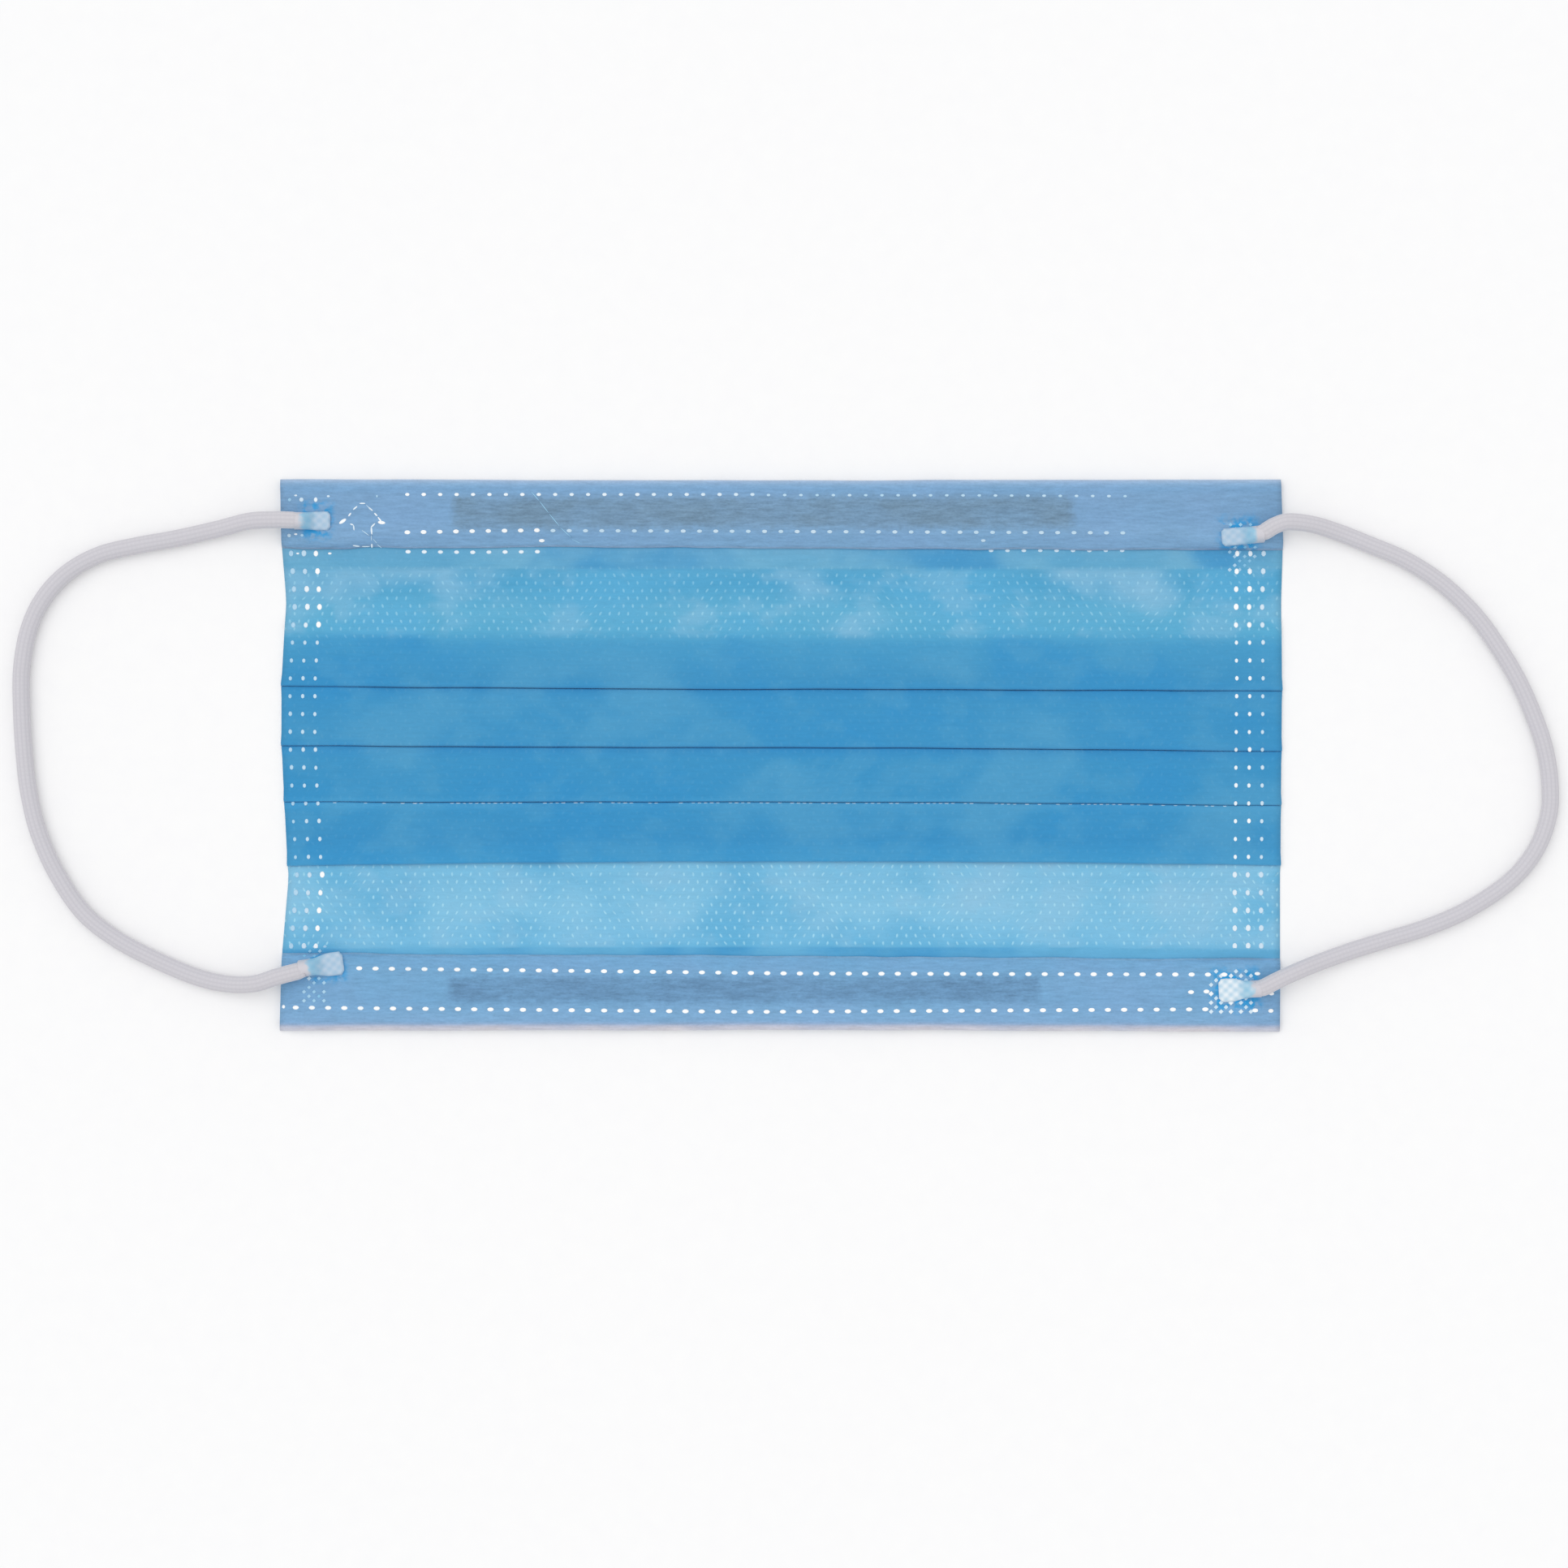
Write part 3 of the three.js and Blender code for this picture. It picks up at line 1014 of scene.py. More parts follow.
@dataclass
class PleatedCloth:
    """The body cloth: one sheet in four knife pleats, thin plies pressed tight at the sides."""

    shape: MaskShape
    ply: float = 0.25
    low: float = 0.16
    lift: float = 0.56
    pressed_lift: float = 0.36
    clearance: float = 0.05
    end: float = 46.3
    first_depth: float = 10.0
    columns: int = 120
    run_step: float = 1.9
    fold_steps: int = 6
    step_high: float = 0.12
    step_run: float = 0.25
    top_step: float = 32.6
    bottom_step: float = -33.4
    ramp: float = 3.0
    ramp_end: float = 0.2
    ramp_step: float = 0.9
    pressed_side: tuple[float, float] = (19.0, 7.0)

    def draw_section(self, pen: ProfilePen) -> None:
        """Draws the folded section from the nose edge to the chin edge.

        Args:
            pen: the pen, already at the nose edge.
        """
        fold = self.lift / 2
        rise = fold + self.ply + self.clearance
        run = math.sqrt(4 * rise**2 - self.lift**2)
        tilt = math.asin(self.lift / (2 * rise))
        swing = math.pi / 2 - tilt
        raised = self.low + self.step_high
        pen.run(self.top_step + self.step_run, raised, self.run_step)
        pen.run(self.top_step, self.low, self.run_step)
        hidden = self.shape.pleat_y[0] + self.first_depth - fold - self.ply / 2
        for edge in self.shape.pleat_y:
            if edge == self.shape.pleat_y[0]:
                pen.run(hidden + self.ramp, self.low, self.run_step)
                pen.run(hidden + self.ramp_end, self.low + fold + rise, self.ramp_step)
            else:
                pen.run(hidden + run, self.low, self.run_step)
                pen.turn(hidden + run, self.low + rise, -swing, self.fold_steps)
                pen.turn(hidden, self.low + fold, swing, self.fold_steps)
            turn_y = edge + fold + self.ply / 2
            pen.run(turn_y, self.low + 2 * self.lift, self.run_step)
            pen.turn(turn_y, self.low + 3 * fold, math.pi, self.fold_steps)
            pen.run(hidden, self.low + self.lift, self.run_step)
            pen.turn(hidden, self.low + fold, -math.pi, self.fold_steps)
            hidden = turn_y - run
        pen.run(self.bottom_step, self.low, self.run_step)
        pen.run(self.bottom_step - self.step_run, raised, self.run_step)
        pen.run(-self.end, raised, self.run_step)

    def height_at(self, x: float, z: float) -> float:
        """Presses the stack of plies together towards the side seams.

        Args:
            x: the place along the mask, in metres.
            z: the height in the section, in metres.

        Returns:
            The height in metres.
        """
        half = self.shape.half_width * MM
        share = smooth(abs(x), *(half - inset * MM for inset in self.pressed_side))
        squeeze = 1 + (self.pressed_lift / self.lift - 1) * share
        return self.low * MM + (z - self.low * MM) * squeeze

    def build(self, outer: Material, lining: Material) -> Piece:
        """Makes the sheet and gives it its thickness.

        Args:
            outer: the blue side's material.
            lining: the white side's and the cut edges' material.

        Returns:
            The attached piece.
        """
        bm = bmesh.new()
        half = self.shape.half_width * MM
        pen = ProfilePen(bm, -half, self.end, self.low + self.step_high)
        self.draw_section(pen)
        pen.sweep(2 * half, self.columns)
        station = bm.verts.layers.float.new("station")
        for vert in bm.verts:
            vert[station] = vert.co.y
            vert.co = self.shape.place(vert.co, self.height_at(vert.co.x, vert.co.z))
        face_up(bm)
        piece = finished(bm, "pleated_cloth", [outer, lining], closed=False)
        thick = thickened(piece, self.ply)
        thick.use_even_offset = True
        thick.material_offset = 1
        thick.material_offset_rim = 1
        attached(piece, "outer_cloth", "pleated_panel")
        return piece


@dataclass
class RolledHem:
    """The lining rolled over an edge of the mask, its flap lying on the front."""

    shape: MaskShape
    edge: HemEdge
    name: str
    node: str
    free_edge: tuple
    web: float = 0.24
    crown: float = 2.16
    pinched: float = 0.9
    ground: float = 0.57
    lip: float = 0.2
    roll_steps: int = 10
    columns: int = 150
    run_step: float = 0.8
    nominal_edge: float = 35.9
    stretch_from: float = 44.5
    flat_end: tuple[float, float] = (66.0, 76.0)
    slope: float = 3.2
    slope_end: float = 1.3
    wave: float = 0.16
    sag: float = 0.16
    pinch: tuple[float, float] = (3.4, 0.2)
    wrinkle: float = 0.05

    def draw_section(self, pen: ProfilePen) -> None:
        """Draws the roll and the flap, to its free edge.

        Args:
            pen: the pen, already at the lip under the edge.
        """
        way = self.edge.value
        centre = self.roll_centre()
        pen.run(way * centre, self.web / 2, self.run_step)
        pen.turn(way * centre, self.web / 2 + self.roll_radius(), way * math.pi, self.roll_steps)
        pen.run(way * self.nominal_edge, self.crown, self.run_step)

    def roll_radius(self) -> float:
        """Gives the radius of the roll's middle line, in millimetres."""
        return (self.crown - self.web / 2) / 2

    def roll_centre(self) -> float:
        """Gives how far from the middle line of the mask the roll turns, in millimetres."""
        return self.shape.half_height - self.roll_radius() - self.web / 2

    def shaped(self, flat: Vector) -> Vector:
        """Bends a point of the swept section: flap let down, sides pinched, free edge wavy.

        Args:
            flat: the point in the swept section, in metres.

        Returns:
            The point where it lies on the mask, in metres.
        """
        x, y, z = flat.x / MM, abs(flat.y) / MM, flat.z / MM
        half = self.shape.half_width
        beside = smooth(abs(x), *self.flat_end)
        stations, levels = zip(*self.free_edge)
        free = float(np.interp(x, stations, levels))
        stretch = smooth(y, self.stretch_from, self.nominal_edge)
        moved = y + (free - self.nominal_edge) * stretch
        moved += self.wave * stretch * noise.noise(Vector((x / 6, 2.2, 0.4 * self.edge.value)))
        slope = self.slope + (self.slope_end - self.slope) * beside
        let_down = smooth(moved, free + slope, free)
        height = z + (self.ground - self.crown) * let_down * (1 if z > self.crown - 0.01 else 0)
        height -= self.sag * beside * smooth(z, 0.5, self.crown) * (1 - let_down)
        pinch = smooth(abs(x), *(half - inset for inset in self.pinch))
        squeezed = self.web / 2 + (height - self.web / 2) * self.pinched / self.crown
        height += (squeezed - height) * pinch
        wrinkle = noise.noise(Vector((x / 5.5, y / 1.3, 5.1)))
        wrinkle += 0.6 * noise.noise(Vector((x / 2.6, y / 0.8, 8.4)))
        height += self.wrinkle * wrinkle * smooth(z, 1.0, self.crown)
        point = Vector((flat.x, math.copysign(moved * MM, flat.y), 0))
        return self.shape.place(point, max(height, self.web / 2) * MM)

    def build(self, web: Material) -> Piece:
        """Makes the hem.

        Args:
            web: its material.

        Returns:
            The attached piece.
        """
        bm = bmesh.new()
        half = self.shape.half_width * MM
        start = self.edge.value * (self.roll_centre() - self.lip)
        pen = ProfilePen(bm, -half, start, self.web / 2)
        self.draw_section(pen)
        pen.sweep(2 * half, self.columns)
        station = bm.verts.layers.float.new("station")
        for vert in bm.verts:
            under = vert.co.z < self.crown * MM / 2
            vert[station] = self.edge.value * STATION_SPAN * MM if under else vert.co.y
            vert.co = self.shaped(vert.co)
        face_up(bm)
        piece = finished(bm, self.name, [web], closed=False)
        thickened(piece, self.web)
        attached(piece, "hem_cloth", self.node)
        return piece


class ClothSurface:
    """Finds the front of the finished cloth under any point."""

    def __init__(self, pieces: list[Piece]) -> None:
        """Reads the pieces' final meshes."""
        graph = bpy.context.evaluated_depsgraph_get()
        self.trees = [BVHTree.FromObject(piece, graph) for piece in pieces]

    def under(self, x: float, y: float) -> tuple[Vector, Vector]:
        """Drops a line on the front of the cloth.

        Args:
            x: the place along the mask, in metres.
            y: the place across it, in metres.

        Returns:
            The highest point hit, and the cloth's normal there.
        """
        start = Vector((x, y, 20 * MM))
        hits = [tree.ray_cast(start, Vector((0, 0, -1))) for tree in self.trees]
        found = [hit for hit in hits if hit[0] is not None]
        if not found:
            return Vector((x, y, MM)), Vector((0, 0, 1))
        point, normal, _, _ = max(found, key=lambda hit: hit[0].z)
        return point, normal if normal.z > 0 else -normal


@dataclass(frozen=True)
class Dot:
    """One weld point: where it is, its size and turn, and how far it is melted through."""

    x: float
    y: float
    width: float
    height: float
    melted: float = 1.0
    turn: float = 0.0
    sides: int = 10


@dataclass
class WeldDots:
    """Many weld points in one piece, each a shallow dish lying on the cloth."""

    name: str
    slot: str
    dots: list[Dot]
    rim: float = 0.07
    sunk: float = 0.10
    crown: float = 0.9
    dish_edge: float = 0.16
    dish_depth: float = 0.10

    def stamp(self, sides: int) -> bpy.types.Mesh:
        """Makes one dish, a unit across.

        Args:
            sides: how many sides its outline has.

        Returns:
            Its mesh.
        """
        bm = bmesh.new()
        turn = Matrix.Rotation(math.pi / sides, 4, "Z")
        bmesh.ops.create_circle(bm, cap_ends=True, segments=sides, radius=0.5, matrix=turn)
        made = bmesh.ops.extrude_face_region(bm, geom=list(bm.faces))
        top = [item for item in made["geom"] if isinstance(item, bmesh.types.BMFace)]
        raised = [vert for vert in bm.verts if any(face in top for face in vert.link_faces)]
        bmesh.ops.translate(bm, verts=raised, vec=(0, 0, 1))
        bmesh.ops.scale(bm, verts=raised, vec=(self.crown, self.crown, 1))
        bmesh.ops.inset_region(bm, faces=top, thickness=self.dish_edge, depth=-self.dish_depth)
        bmesh.ops.recalc_face_normals(bm, faces=bm.faces)
        mesh = bpy.data.meshes.new(f"{self.name}_stamp_{sides}")
        bm.to_mesh(mesh)
        bm.free()
        return mesh

    def build(self, surface: ClothSurface, film: Material) -> Piece:
        """Stamps every dot on the cloth.

        Args:
            surface: the cloth that they lie on.
            film: their material.

        Returns:
            The attached piece.
        """
        bm = bmesh.new()
        melted = bm.verts.layers.float.new("melted")
        stamps = {sides: self.stamp(sides) for sides in sorted({dot.sides for dot in self.dots})}
        for dot in self.dots:
            first = len(bm.verts)
            bm.from_mesh(stamps[dot.sides])
            bm.verts.ensure_lookup_table()
            fresh = bm.verts[first:]
            point, normal = surface.under(dot.x * MM, dot.y * MM)
            tall = (self.rim + self.sunk) * MM
            size = Matrix.Diagonal((dot.width * MM, dot.height * MM, tall, 1))
            lean = normal.to_track_quat("Z", "Y").to_matrix().to_4x4()
            lie = Matrix.Translation(point - normal * self.sunk * MM)
            spin = Matrix.Rotation(dot.turn, 4, "Z")
            straight = Matrix.Rotation(-lean.to_euler().z, 4, "Z")
            bmesh.ops.transform(bm, verts=fresh, matrix=lie @ lean @ straight @ spin @ size)
            for vert in fresh:
                vert[melted] = dot.melted
        for mesh in stamps.values():
            bpy.data.meshes.remove(mesh)
        return attached(finished(bm, self.name, [film]), self.slot)


@dataclass
class SeamPlan:
    """Where the weld points are: two hems, two side seams and the fused corners."""

    shape: MaskShape
    pitch: float = 2.84
    rows: int = 23
    row_top: float = 35.3
    row_pitch: float = 3.12
    corner_pitch: tuple[float, float] = (1.74, 0.78)
    fold_pitch: float = 1.08
    fold_reach: float = 78.0
    crease_width: float = 0.15
    crease_melt: float = 0.16

    def line(self, start: float, end: float, height: tuple, size: tuple, melted: tuple) -> list[Dot]:
        """Sets out one row of a hem.

        Args:
            start: the first dot's X.
            end: the last dot's X.
            height: the row's Y at its left end, middle and right end.
            size: a dot's width and height.
            melted: how far the dots are melted, at the left end, middle and right end.

        Returns:
            The dots.
        """
        count = round((end - start) / self.pitch)
        stations = (start, (start + end) / 2, end)
        dots = []
        for index in range(count + 1):
            x = start + (end - start) * index / count
            y = float(np.interp(x, stations, height))
            fade = float(np.interp(x, stations, melted))
            vary = noise.noise(Vector((x / 2.1, y, 0.5)))
            grow = 1 + 0.06 * vary
            dots.append(Dot(x, y, size[0] * grow, size[1] * grow, min(1.0, max(0.0, fade + 0.12 * vary))))
        return dots

    def hem_dots(self) -> list[Dot]:
        """Gives the rows of both hems."""
        top = [
            *self.line(-65.2, -5.0, (45.5, 45.5, 45.5), (0.86, 0.62), (0.95, 0.75, 0.55)),
            *self.line(-2.2, 60.0, (45.4, 45.35, 45.2), (0.74, 0.5), (0.4, 0.36, 0.36)),
            *self.line(-65.2, -42.6, (38.9, 39.1, 39.25), (1.1, 0.78), (1.0, 1.0, 1.0)),
            *self.line(-39.8, 59.6, (39.2, 39.0, 38.8), (0.98, 0.66), (0.45, 0.5, 0.42)),
            *self.line(-65.2, -42.6, (35.6, 35.5, 35.6), (1.0, 0.7), (0.8, 0.72, 0.85)),
            *self.line(36.7, 59.6, (35.8, 35.8, 35.8), (0.9, 0.62), (0.5, 0.45, 0.5)),
            Dot(-41.8, 37.5, 1.1, 0.7),
            Dot(35.3, 37.5, 0.9, 0.6, 0.5),
        ]
        bottom = [
            *self.line(-73.6, 77.3, (-37.15, -38.05, -38.25), (1.2, 0.78), (1.0, 1.0, 0.97)),
            *self.line(-84.7, 74.0, (-44.0, -44.75, -44.3), (1.2, 0.76), (0.95, 1.0, 0.97)),
            Dot(-86.9, -43.9, 0.6, 0.7, 0.95),
            Dot(71.5, -41.3, 1.15, 0.76),
            Dot(74.2, -41.2, 1.15, 0.76),
            Dot(85.6, -41.6, 1.15, 0.66),
            Dot(83.1, -38.1, 1.1, 0.66),
            Dot(82.7, -44.5, 1.15, 0.76),
            Dot(85.5, -44.6, 1.15, 0.76),
        ]
        return top + bottom

    def side_dots(self) -> list[Dot]:
        """Gives the three columns of each side seam, which follow the side edge."""
        insets = {Side.LEFT: (1.5, 3.7, 5.85), Side.RIGHT: (3.3, 5.6, 7.9)}
        upper_zone = {Side.LEFT: (0.3, 0.75, 1.0), Side.RIGHT: (0.6, 0.95, 0.97)}
        pleat_zone = {Side.LEFT: (0.28, 0.4, 0.45), Side.RIGHT: (0.5, 0.82, 0.82)}
        lower_zone = {Side.LEFT: (0.3, 0.5, 1.0), Side.RIGHT: (0.5, 0.64, 0.68)}
        dots = []
        for side in Side:
            for row in range(self.rows):
                y = self.row_top - row * self.row_pitch
                folded = -18.0 < y < 21.0
                bright = pleat_zone if folded or y > 31.0 else upper_zone if y > 0 else lower_zone
                edge = self.shape.edge_at(y, side)
                for column, (inset, light) in enumerate(zip(insets[side], bright[side])):
                    vary = noise.noise(Vector((inset * 3.1, y * 1.7, side.value)))
                    kept = 1.0 if y > 31.0 and column == 2 else light
                    melted = kept * (1 + 0.2 * vary)
                    size = (0.66, 0.86) if folded else (0.88, 1.16)
                    grow = 1 + 0.16 * vary
                    x = side.value * (edge - inset) + 0.1 * vary
                    place = (x, y + 0.08 * vary)
                    dots.append(Dot(*place, size[0] * grow, size[1] * grow, min(melted, 1.0), 0.0, 8))
        return dots

    def corner_dots(self) -> list[Dot]:
        """Gives the small diamonds that a knurled tool left round each pressed end."""
        patches = (
            ("right_bottom_weld", (-4.3, 3.5), (-3.8, 3.4), 0.52),
            ("left_bottom_weld", (-3.7, 0.6), (-6.2, 3.2), 0.2),
            ("right_top_weld", (-1.4, 3.4), (-5.8, 2.6), 0.12),
        )
        pitch_x, pitch_y = self.corner_pitch
        dots = []
        for node, across, along, light in patches:
            low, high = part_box(node)
            centre = (low + high) / 2 / MM
            rows = int((along[1] - along[0]) / pitch_y)
            for row in range(rows + 1):
                y = along[0] + row * pitch_y
                x = across[0] + (row % 2) * pitch_x / 2
                while x <= across[1]:
                    vary = noise.noise(Vector((x * 1.3, y * 1.1, centre.x)))
                    if vary > -0.36:
                        melted = min(1.0, max(0.05, light + 0.5 * vary))
                        place = (centre.x + x, centre.y + y)
                        grow = 0.76 + 0.28 * light + 0.2 * vary
                        dots.append(Dot(*place, grow, 0.94 * grow, melted, math.pi / 4, 4))
                    x += pitch_x
        return dots

    def stray_dots(self) -> list[Dot]:
        """Gives the few single marks of the side seam on the top left corner."""
        marks = (
            (-85.8, 44.6, 0.7, 0.6, 0.2), (-83.7, 44.6, 0.8, 0.8, 0.55), (-81.2, 44.6, 0.66, 0.9, 0.8),
            (-84.7, 45.35, 0.6, 0.34, 0.7), (-79.0, 45.2, 0.6, 0.4, 0.6), (-70.5, 45.2, 0.34, 0.5, 0.3),
            (-85.9, 38.4, 0.8, 0.7, 0.45), (-84.7, 38.6, 0.66, 0.34, 0.9), (-83.6, 38.4, 0.6, 0.5, 0.3),
            (-84.5, 35.3, 0.6, 0.34, 0.9), (-78.9, 35.3, 0.7, 0.42, 0.9),
        )
        return [Dot(*mark) for mark in marks]

    def fold_specks(self) -> list[Dot]:
        """Gives the pale broken line just under the third fold."""
        fold = self.shape.pleat_y[2]
        dots = []
        x = -self.fold_reach
        while x < self.fold_reach + 1:
            vary = noise.noise(Vector((x * 0.9, 4.4, 1.1)))
            y = fold + self.shape.shift_at(x, fold) - 0.22
            if vary > -0.12:
                dots.append(Dot(x, y, 0.75 + 0.3 * vary, 0.2, 0.35 + 0.4 * vary, 0.0, 6))
            x += self.fold_pitch
        return dots

    def arrow_dots(self) -> list[Dot]:
        """Gives the broken outline of a plain arrow, as short dashes."""
        strokes = (
            ((-73.5, 43.95), (-72.6, 43.95), 0.26, 0.75), ((-74.6, 42.9), (-74.0, 43.4), 0.3, 0.75),
            ((-75.4, 41.8), (-75.1, 42.2), 0.34, 0.8), ((-76.9, 40.55), (-76.1, 41.1), 0.62, 0.95),
            ((-72.4, 43.7), (-71.4, 42.75), 0.14, 0.45), ((-71.9, 43.2), (-71.3, 42.7), 0.28, 0.8),
            ((-70.9, 42.2), (-70.5, 41.8), 0.3, 0.8), ((-70.3, 41.5), (-69.6, 40.6), 0.3, 0.9),
            ((-70.1, 40.65), (-69.3, 40.55), 0.62, 1.0), ((-75.1, 40.35), (-74.7, 40.2), 0.28, 0.7),
            ((-74.6, 40.1), (-74.5, 39.3), 0.28, 0.62), ((-70.9, 40.4), (-71.5, 39.8), 0.3, 0.72),
            ((-71.5, 39.8), (-71.4, 38.6), 0.34, 0.72), ((-71.5, 38.5), (-71.5, 37.3), 0.16, 0.5),
            ((-73.2, 39.3), (-71.8, 38.3), 0.16, 0.42), ((-71.5, 36.9), (-71.5, 36.3), 0.34, 0.7),
            ((-74.7, 36.7), (-73.7, 36.45), 0.36, 0.7), ((-73.2, 36.5), (-71.9, 36.45), 0.22, 0.6),
            ((-71.2, 37.9), (-70.6, 36.9), 0.14, 0.4), ((-70.6, 36.9), (-69.8, 36.2), 0.14, 0.4),
        )
        return [self.dash(*stroke) for stroke in strokes]

    def crease_dots(self) -> list[Dot]:
        """Gives the fine ridge that runs slantwise over the top hem to the free edge."""
        path = ((-43.6, 46.0), (-42.2, 44.4), (-40.5, 42.2), (-38.6, 39.9), (-36.6, 37.9), (-34.4, 36.6))
        width, melted = self.crease_width, self.crease_melt
        return [self.dash(start, end, width, melted) for start, end in zip(path, path[1:])]

    def dash(self, start: tuple, end: tuple, width: float, melted: float) -> Dot:
        """Makes one dash between two points.

        Args:
            start: its first end.
            end: its other end.
            width: how wide it is.
            melted: how far it is melted through.

        Returns:
            The dot that draws it.
        """
        way = Vector(end) - Vector(start)
        middle = (Vector(end) + Vector(start)) / 2
        long = way.length + width
        return Dot(middle.x, middle.y, long, width, melted, math.atan2(way.y, way.x))


@dataclass
class EarLoop:
    """A round knitted elastic cord laid from weld to weld."""

    name: str
    node: str
    route: tuple
    diameter: float = 3.0
    sides: int = 36
    spacing: float = 0.24
    wales: int = 12
    stitch: float = 0.75
    relief: float = 0.022
    tucked: float = 1.3
    neck: float = 0.86

    def centreline(self) -> list[Vector]:
        """Gives the cord's route, sampled evenly, in metres."""
        return catmull_rom([Vector(point) * MM for point in self.route], self.spacing * MM)

    def knit(self, angle: float, run: float) -> float:
        """Gives how raised the knit is at a point of the surface.

        Args:
            angle: where round the cord, in radians.
            run: where along it, in metres.

        Returns:
            The height, from 0 in a groove to 1 on a stitch.
        """
        wale = abs(math.sin(angle * self.wales / 2))
        slant = math.asin(min(1.0, wale)) / math.pi
        loop = 0.5 + 0.5 * math.cos(2 * math.pi * (run / (self.stitch * MM) + slant))
        return wale**0.6 * (0.55 + 0.45 * loop)

    def build(self, knit: Material) -> Piece:
        """Draws the cord out of one ring, step by step.

        Args:
            knit: its material.

        Returns:
            The attached piece.
        """
        path = self.centreline()
        bm = bmesh.new()
        raised = bm.verts.layers.float.new("raised")
        bmesh.ops.create_circle(bm, segments=self.sides, radius=1.0)
        ring = list(bm.edges)
        verts = list(bm.verts)
        angles = [math.atan2(vert.co.y, vert.co.x) for vert in verts]
        rings = []
        for index, point in enumerate(path):
            if index:
                made = bmesh.ops.extrude_edge_only(bm, edges=ring)["geom"]
                ring = [item for item in made if isinstance(item, bmesh.types.BMEdge)]
                verts = self.matched(verts, made)
            before = path[max(index - 1, 0)]
            after = path[min(index + 1, len(path) - 1)]
            along = (after - before).normalized()
            side = along.cross(Vector((0, 0, 1))).normalized()
            up = side.cross(along)
            from_end = min(index, len(path) - 1 - index) * self.spacing
            narrowed = self.neck + (1 - self.neck) * smooth(from_end, 0.0, self.tucked)
            for vert, angle in zip(verts, angles):
                height = self.knit(angle, index * self.spacing * MM)
                radius = (self.diameter / 2 - self.relief * (1 - height)) * MM * narrowed
                vert.co = point + (side * math.cos(angle) + up * math.sin(angle)) * radius
                vert[raised] = height
            rings.append(list(ring))
        for end in (rings[0], rings[-1]):
            bmesh.ops.contextual_create(bm, geom=end)
        return attached(finished(bm, self.name, [knit]), "elastic", self.node)

    def matched(self, verts: list, made: list) -> list:
        """Puts the vertices of a new ring in the order of the ring they came from.

        Args:
            verts: the last ring's vertices, in order.
            made: what the extrusion made.

        Returns:
            The new ring's vertices, in the same order.
        """
        fresh = {item for item in made if isinstance(item, BMVert)}
        ordered = []
        for vert in verts:
            ordered.append(next(e.other_vert(vert) for e in vert.link_edges if e.other_vert(vert) in fresh))
        return ordered

    def declare(self, piece: Piece, pads: list[Piece]) -> None:
        """Args:
            piece: the cord; not used.
            pads: the pressed ends that go with it; not used.
        """
        path = self.centreline()


@dataclass
class PressedEnd:
    """The end of an elastic, pressed flat by a knurled tool and fused to the hem."""

    name: str
    node: str
    heading: float
    long: float
    near: float = 3.0
    far: float = 3.5
    thick: float = 0.8
    tall: float = 3.42
    knurl: float = 0.1
    pitch: tuple[float, float] = (1.74, 1.56)
    cells: tuple[int, int] = (48, 30)
    base: float = 2.08
    foot: float = 0.15
    reach: float = 1.3
    finish: PressedElastic = PressedElastic()

    def build(self) -> Piece:
        """Makes the pad from a flat grid, its mouth round the cord's end.

        Returns:
            The attached piece.
        """
        low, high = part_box(self.node)
        centre = (low + high) / 2
        bm = bmesh.new()
        raised = bm.verts.layers.float.new("raised")
        along = bm.verts.layers.float.new("run")
        bmesh.ops.create_grid(bm, x_segments=self.cells[0], y_segments=self.cells[1], size=0.5)
        rim = [edge for edge in bm.edges if edge.is_boundary]
        skirt = bmesh.ops.extrude_edge_only(bm, edges=rim)["geom"]
        feet = {item for item in skirt if isinstance(item, BMVert)}
        facing = Matrix.Rotation(math.radians(self.heading), 4, "Z")
        whole = self.long + self.reach
        for vert in bm.verts:
            run = vert.co.x + 0.5
            across = vert.co.y * 2
            rounded = 1 - 0.06 * smooth(abs(across), 0.6, 1.0) * smooth(run, 0.86, 1.0)
            width = (self.near + (self.far - self.near) * smooth(run, 0.3, 0.7)) / 2
            ridge = self.ridge(run * whole, across * width)
            flattened = smooth(run, 0.22, 0.6)
            crown = max(0.0, 1 - abs(across) ** (2.6 + 3 * flattened))
            height = (self.tall + (self.thick - self.tall) * flattened) * (0.2 + 0.8 * math.sqrt(crown))
            height += self.knurl * (ridge - 0.5) * flattened
            height *= 1 - 0.35 * smooth(run, 0.95, 1.0)
            vert[raised] = ridge
            vert[along] = run
            flat = Vector(((run * whole * rounded - self.long / 2 - self.reach) * MM, across * width * MM, 0))
            place = centre + facing @ flat
            place.z = (self.base + (-self.foot if vert in feet else height)) * MM
            vert.co = place
        bmesh.ops.holes_fill(bm, edges=[edge for edge in bm.edges if edge.is_boundary], sides=0)
        return attached(finished(bm, self.name, [self.finish.dress()]), "welded_elastic", self.node)

    def ridge(self, along: float, across: float) -> float:
        """Gives the staggered diamonds that the tool left.

        Args:
            along: the place along the pad, in millimetres.
            across: the place across it, in millimetres.

        Returns:
            The height, from 0 in a groove to 1 on a diamond.
        """
        first = math.cos(2 * math.pi * along / self.pitch[0])
        second = math.cos(2 * math.pi * across / self.pitch[1])
        return 0.5 + 0.5 * first * second


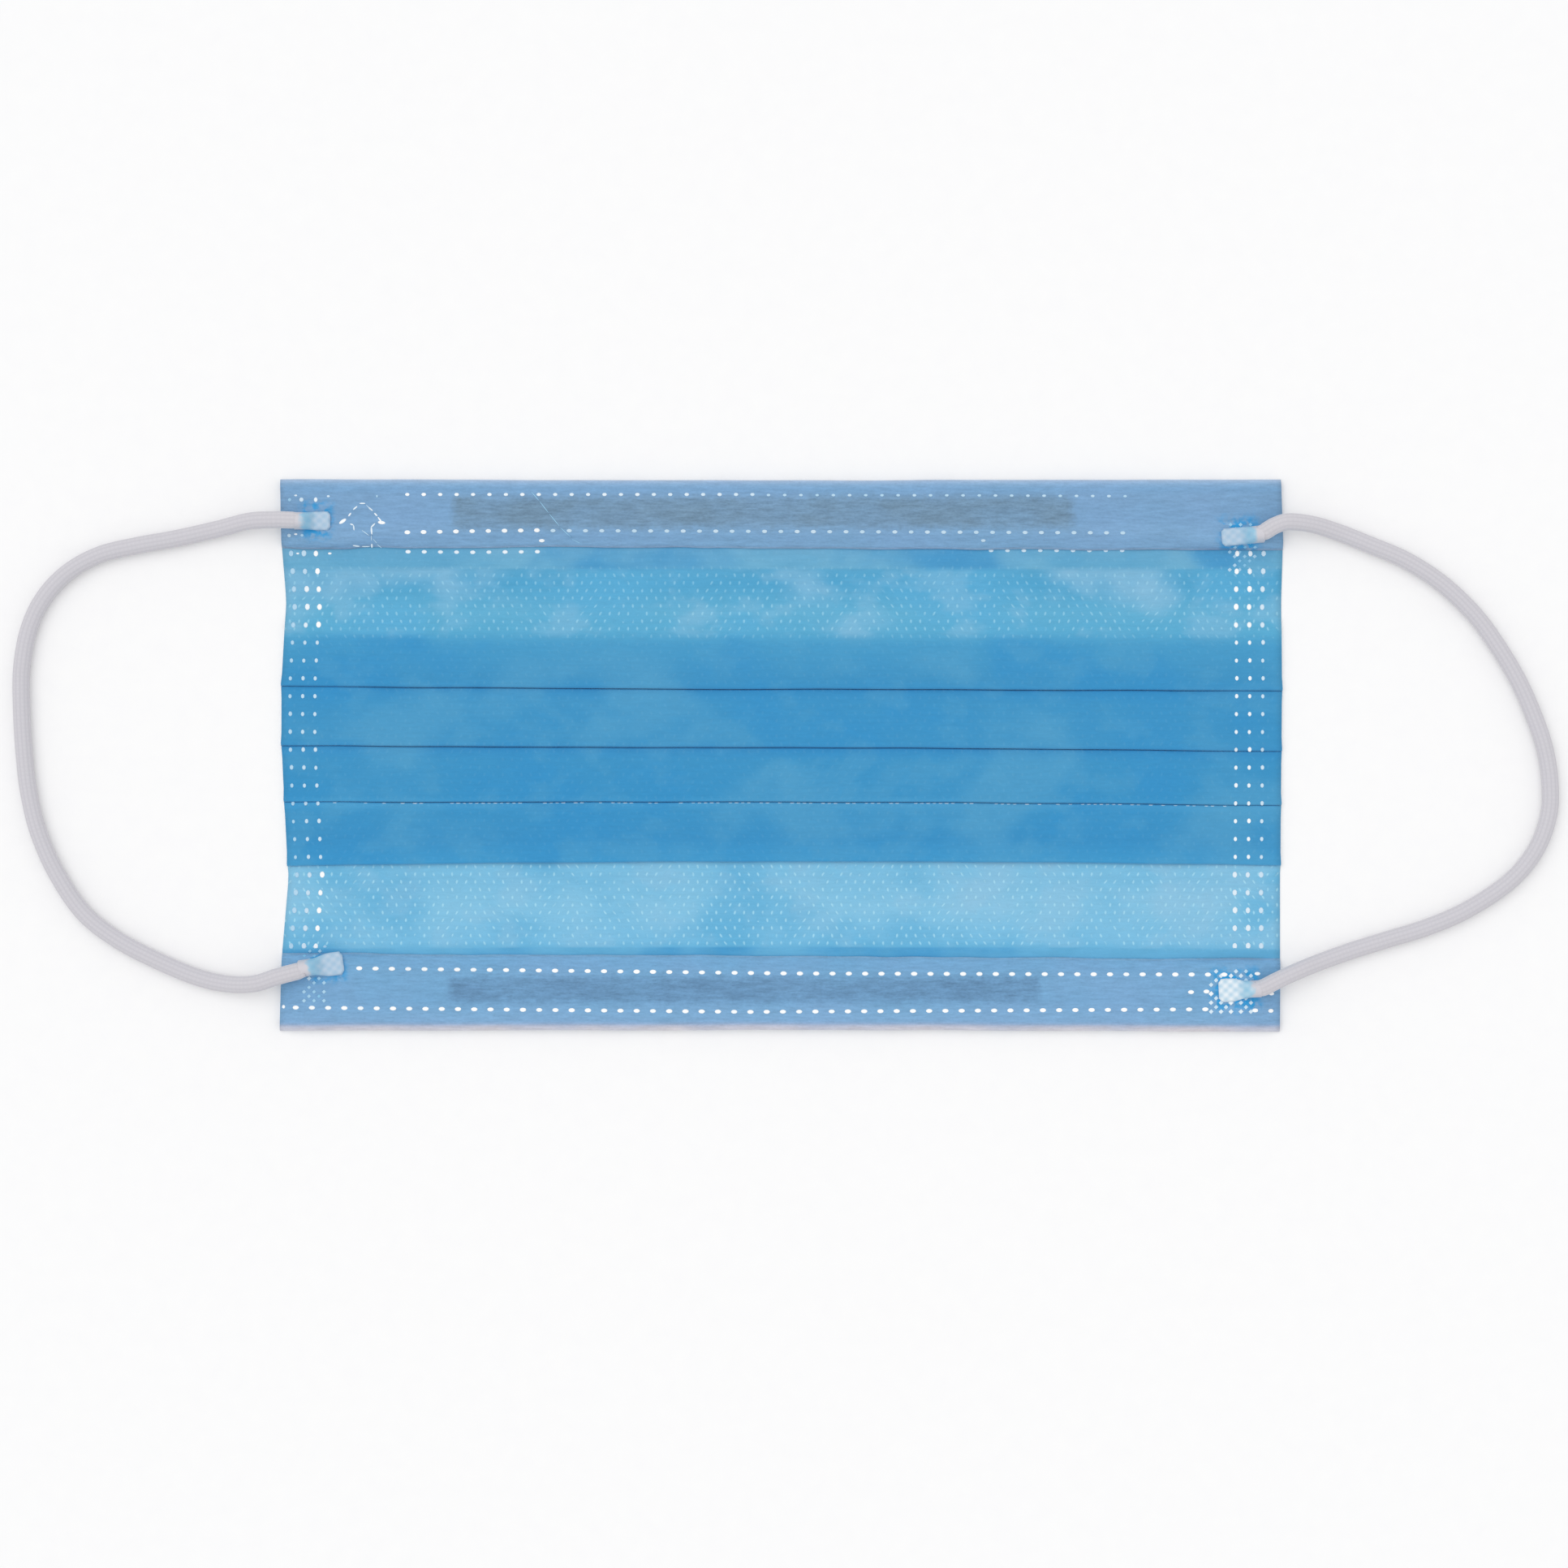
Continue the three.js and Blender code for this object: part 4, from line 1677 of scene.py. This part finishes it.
@dataclass
class EarLoops:
    """Both elastic loops with their pressed ends."""

    left: EarLoop = field(default_factory=lambda: EarLoop("left_loop_cord", "left_ear_loop", LEFT_ROUTE))
    right: EarLoop = field(default_factory=lambda: EarLoop("right_loop_cord", "right_ear_loop", RIGHT_ROUTE))
    knurled: PressedElastic = PressedElastic("knurled_elastic", ground=(184, 214, 232), crest=(242, 246, 249))

    def build(self) -> None:
        knit = KnitElastic().dress()
        left_ends = (
            PressedEnd("left_top_end", "left_top_weld", 0, 4.9, far=3.3),
            PressedEnd("left_bottom_end", "left_bottom_weld", 8, 6.4, far=4.1),
        )
        right_ends = (
            PressedEnd("right_top_end", "right_top_weld", 185, 6.0, far=3.1),
            PressedEnd("right_bottom_end", "right_bottom_weld", 183, 6.0, far=4.1, finish=self.knurled),
        )
        for loop, ends in ((self.left, left_ends), (self.right, right_ends)):
            cord = loop.build(knit)
            loop.declare(cord, [end.build() for end in ends])


@dataclass(frozen=True)
class Studio:
    """The camera straight above, a pale floor and soft even light."""

    lens: float = 120.0
    sensor: float = 36.0
    view_width: float = 274.2
    view_centre: tuple[float, float] = (0.5, -5.0)
    floor_half: float = 6.0
    sky_strength: float = 0.80
    sun_energy: float = 0.78
    sun_angle: float = 60.0
    sun_lean: tuple[float, float, float] = (-14.0, -14.0, 0.0)

    def camera(self) -> None:
        """Hangs the camera over the middle of the view, looking straight down."""
        data = bpy.data.cameras.new("camera")
        data.lens = self.lens
        data.sensor_width = self.sensor
        distance = self.view_width * self.lens / self.sensor
        holder = bpy.data.objects.new("camera", data)
        holder.location = (self.view_centre[0] * MM, self.view_centre[1] * MM, distance * MM)
        bpy.context.scene.collection.objects.link(holder)
        bpy.context.scene.camera = holder

    def floor(self) -> None:
        """Lays the floor under the mask."""
        bm = bmesh.new()
        bmesh.ops.create_grid(bm, x_segments=8, y_segments=8, size=self.floor_half)
        piece = finished(bm, "floor", [PaleFloor().dress()], closed=False)

    def lights(self) -> None:
        """Sets an even sky and one broad soft light from the upper left."""
        world = bpy.data.worlds.new("studio")
        world.use_nodes = True
        sky = world.node_tree.nodes["Background"]
        sky.inputs["Color"].default_value = (1.0, 1.0, 1.0, 1.0)
        sky.inputs["Strength"].default_value = self.sky_strength
        bpy.context.scene.world = world
        data = bpy.data.lights.new("broad_light", "SUN")
        data.energy = self.sun_energy
        data.angle = math.radians(self.sun_angle)
        holder = bpy.data.objects.new("broad_light", data)
        holder.rotation_euler = [math.radians(lean) for lean in self.sun_lean]
        bpy.context.scene.collection.objects.link(holder)
        bpy.context.scene.view_settings.view_transform = "Standard"


def build_cloth(shape: MaskShape) -> list[Piece]:
    """Makes the pleated cloth and both hems.

    Args:
        shape: the mask's plan.

    Returns:
        The three pieces of cloth.
    """
    panel = PleatedCloth(shape).build(OuterCloth().dress(), Lining().dress())
    top_web = HemCloth(fused=(("left_top_weld", 0.1, 1.0), ("right_top_weld", 0.2, 1.1)))
    bottom_web = HemCloth(
        name="bottom_hem_web",
        tones=BOTTOM_HEM_TONES,
        strip_node="chin_strip",
        strip_tone=(99, 141, 179),
        fused=(("left_bottom_weld", 0.1, 0.5), ("right_bottom_weld", 1.1, 1.5)),
    )
    top = RolledHem(shape, HemEdge.TOP, "top_hem_roll", "top_hem", TOP_FREE_EDGE)
    bottom = RolledHem(shape, HemEdge.BOTTOM, "bottom_hem_roll", "bottom_hem", BOTTOM_FREE_EDGE)
    return [panel, top.build(top_web.dress()), bottom.build(bottom_web.dress())]


def build_welds(shape: MaskShape, cloth: list[Piece]) -> None:
    """Stamps the weld points, the arrow outline and the crease on the cloth.

    Args:
        shape: the mask's plan.
        cloth: the pieces that they lie on.
    """
    surface = ClothSurface(cloth)
    film = FusedFilm().dress()
    plan = SeamPlan(shape)
    rows = (
        WeldDots("hem_weld_dots", "hem_cloth", plan.hem_dots()),
        WeldDots("side_weld_dots", "outer_cloth", plan.side_dots()),
        WeldDots("stray_weld_dots", "hem_cloth", plan.stray_dots()),
        WeldDots("fold_specks", "outer_cloth", plan.fold_specks(), 0.02, 0.05),
        WeldDots("corner_weld_dots", "hem_cloth", plan.corner_dots(), 0.05),
        WeldDots("arrow_outline", "hem_cloth", plan.arrow_dots(), 0.04),
        WeldDots("hem_crease", "hem_cloth", plan.crease_dots(), 0.04),
    )
    for row in rows:
        row.build(surface, film)


def dress_strips() -> None:
    """Gives the two strips inside the hems their metal."""
    metal = RolledStrip().dress()
    for node in ("nose_strip", "chin_strip"):
        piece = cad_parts[node]
        piece.data.materials.clear()
        piece.data.materials.append(metal)


def main() -> None:
    """Builds the studio and the mask in order."""
    logging.basicConfig(level=logging.INFO, format="%(name)s: %(message)s")
    studio = Studio()
    studio.camera()
    shape = MaskShape()
    EarLoops().build()
    ClothEffects().build()
    cloth = build_cloth(shape)
    bpy.context.view_layer.update()
    build_welds(shape, cloth)
    dress_strips()
    studio.floor()
    studio.lights()


if __name__ == "__main__":
    main()
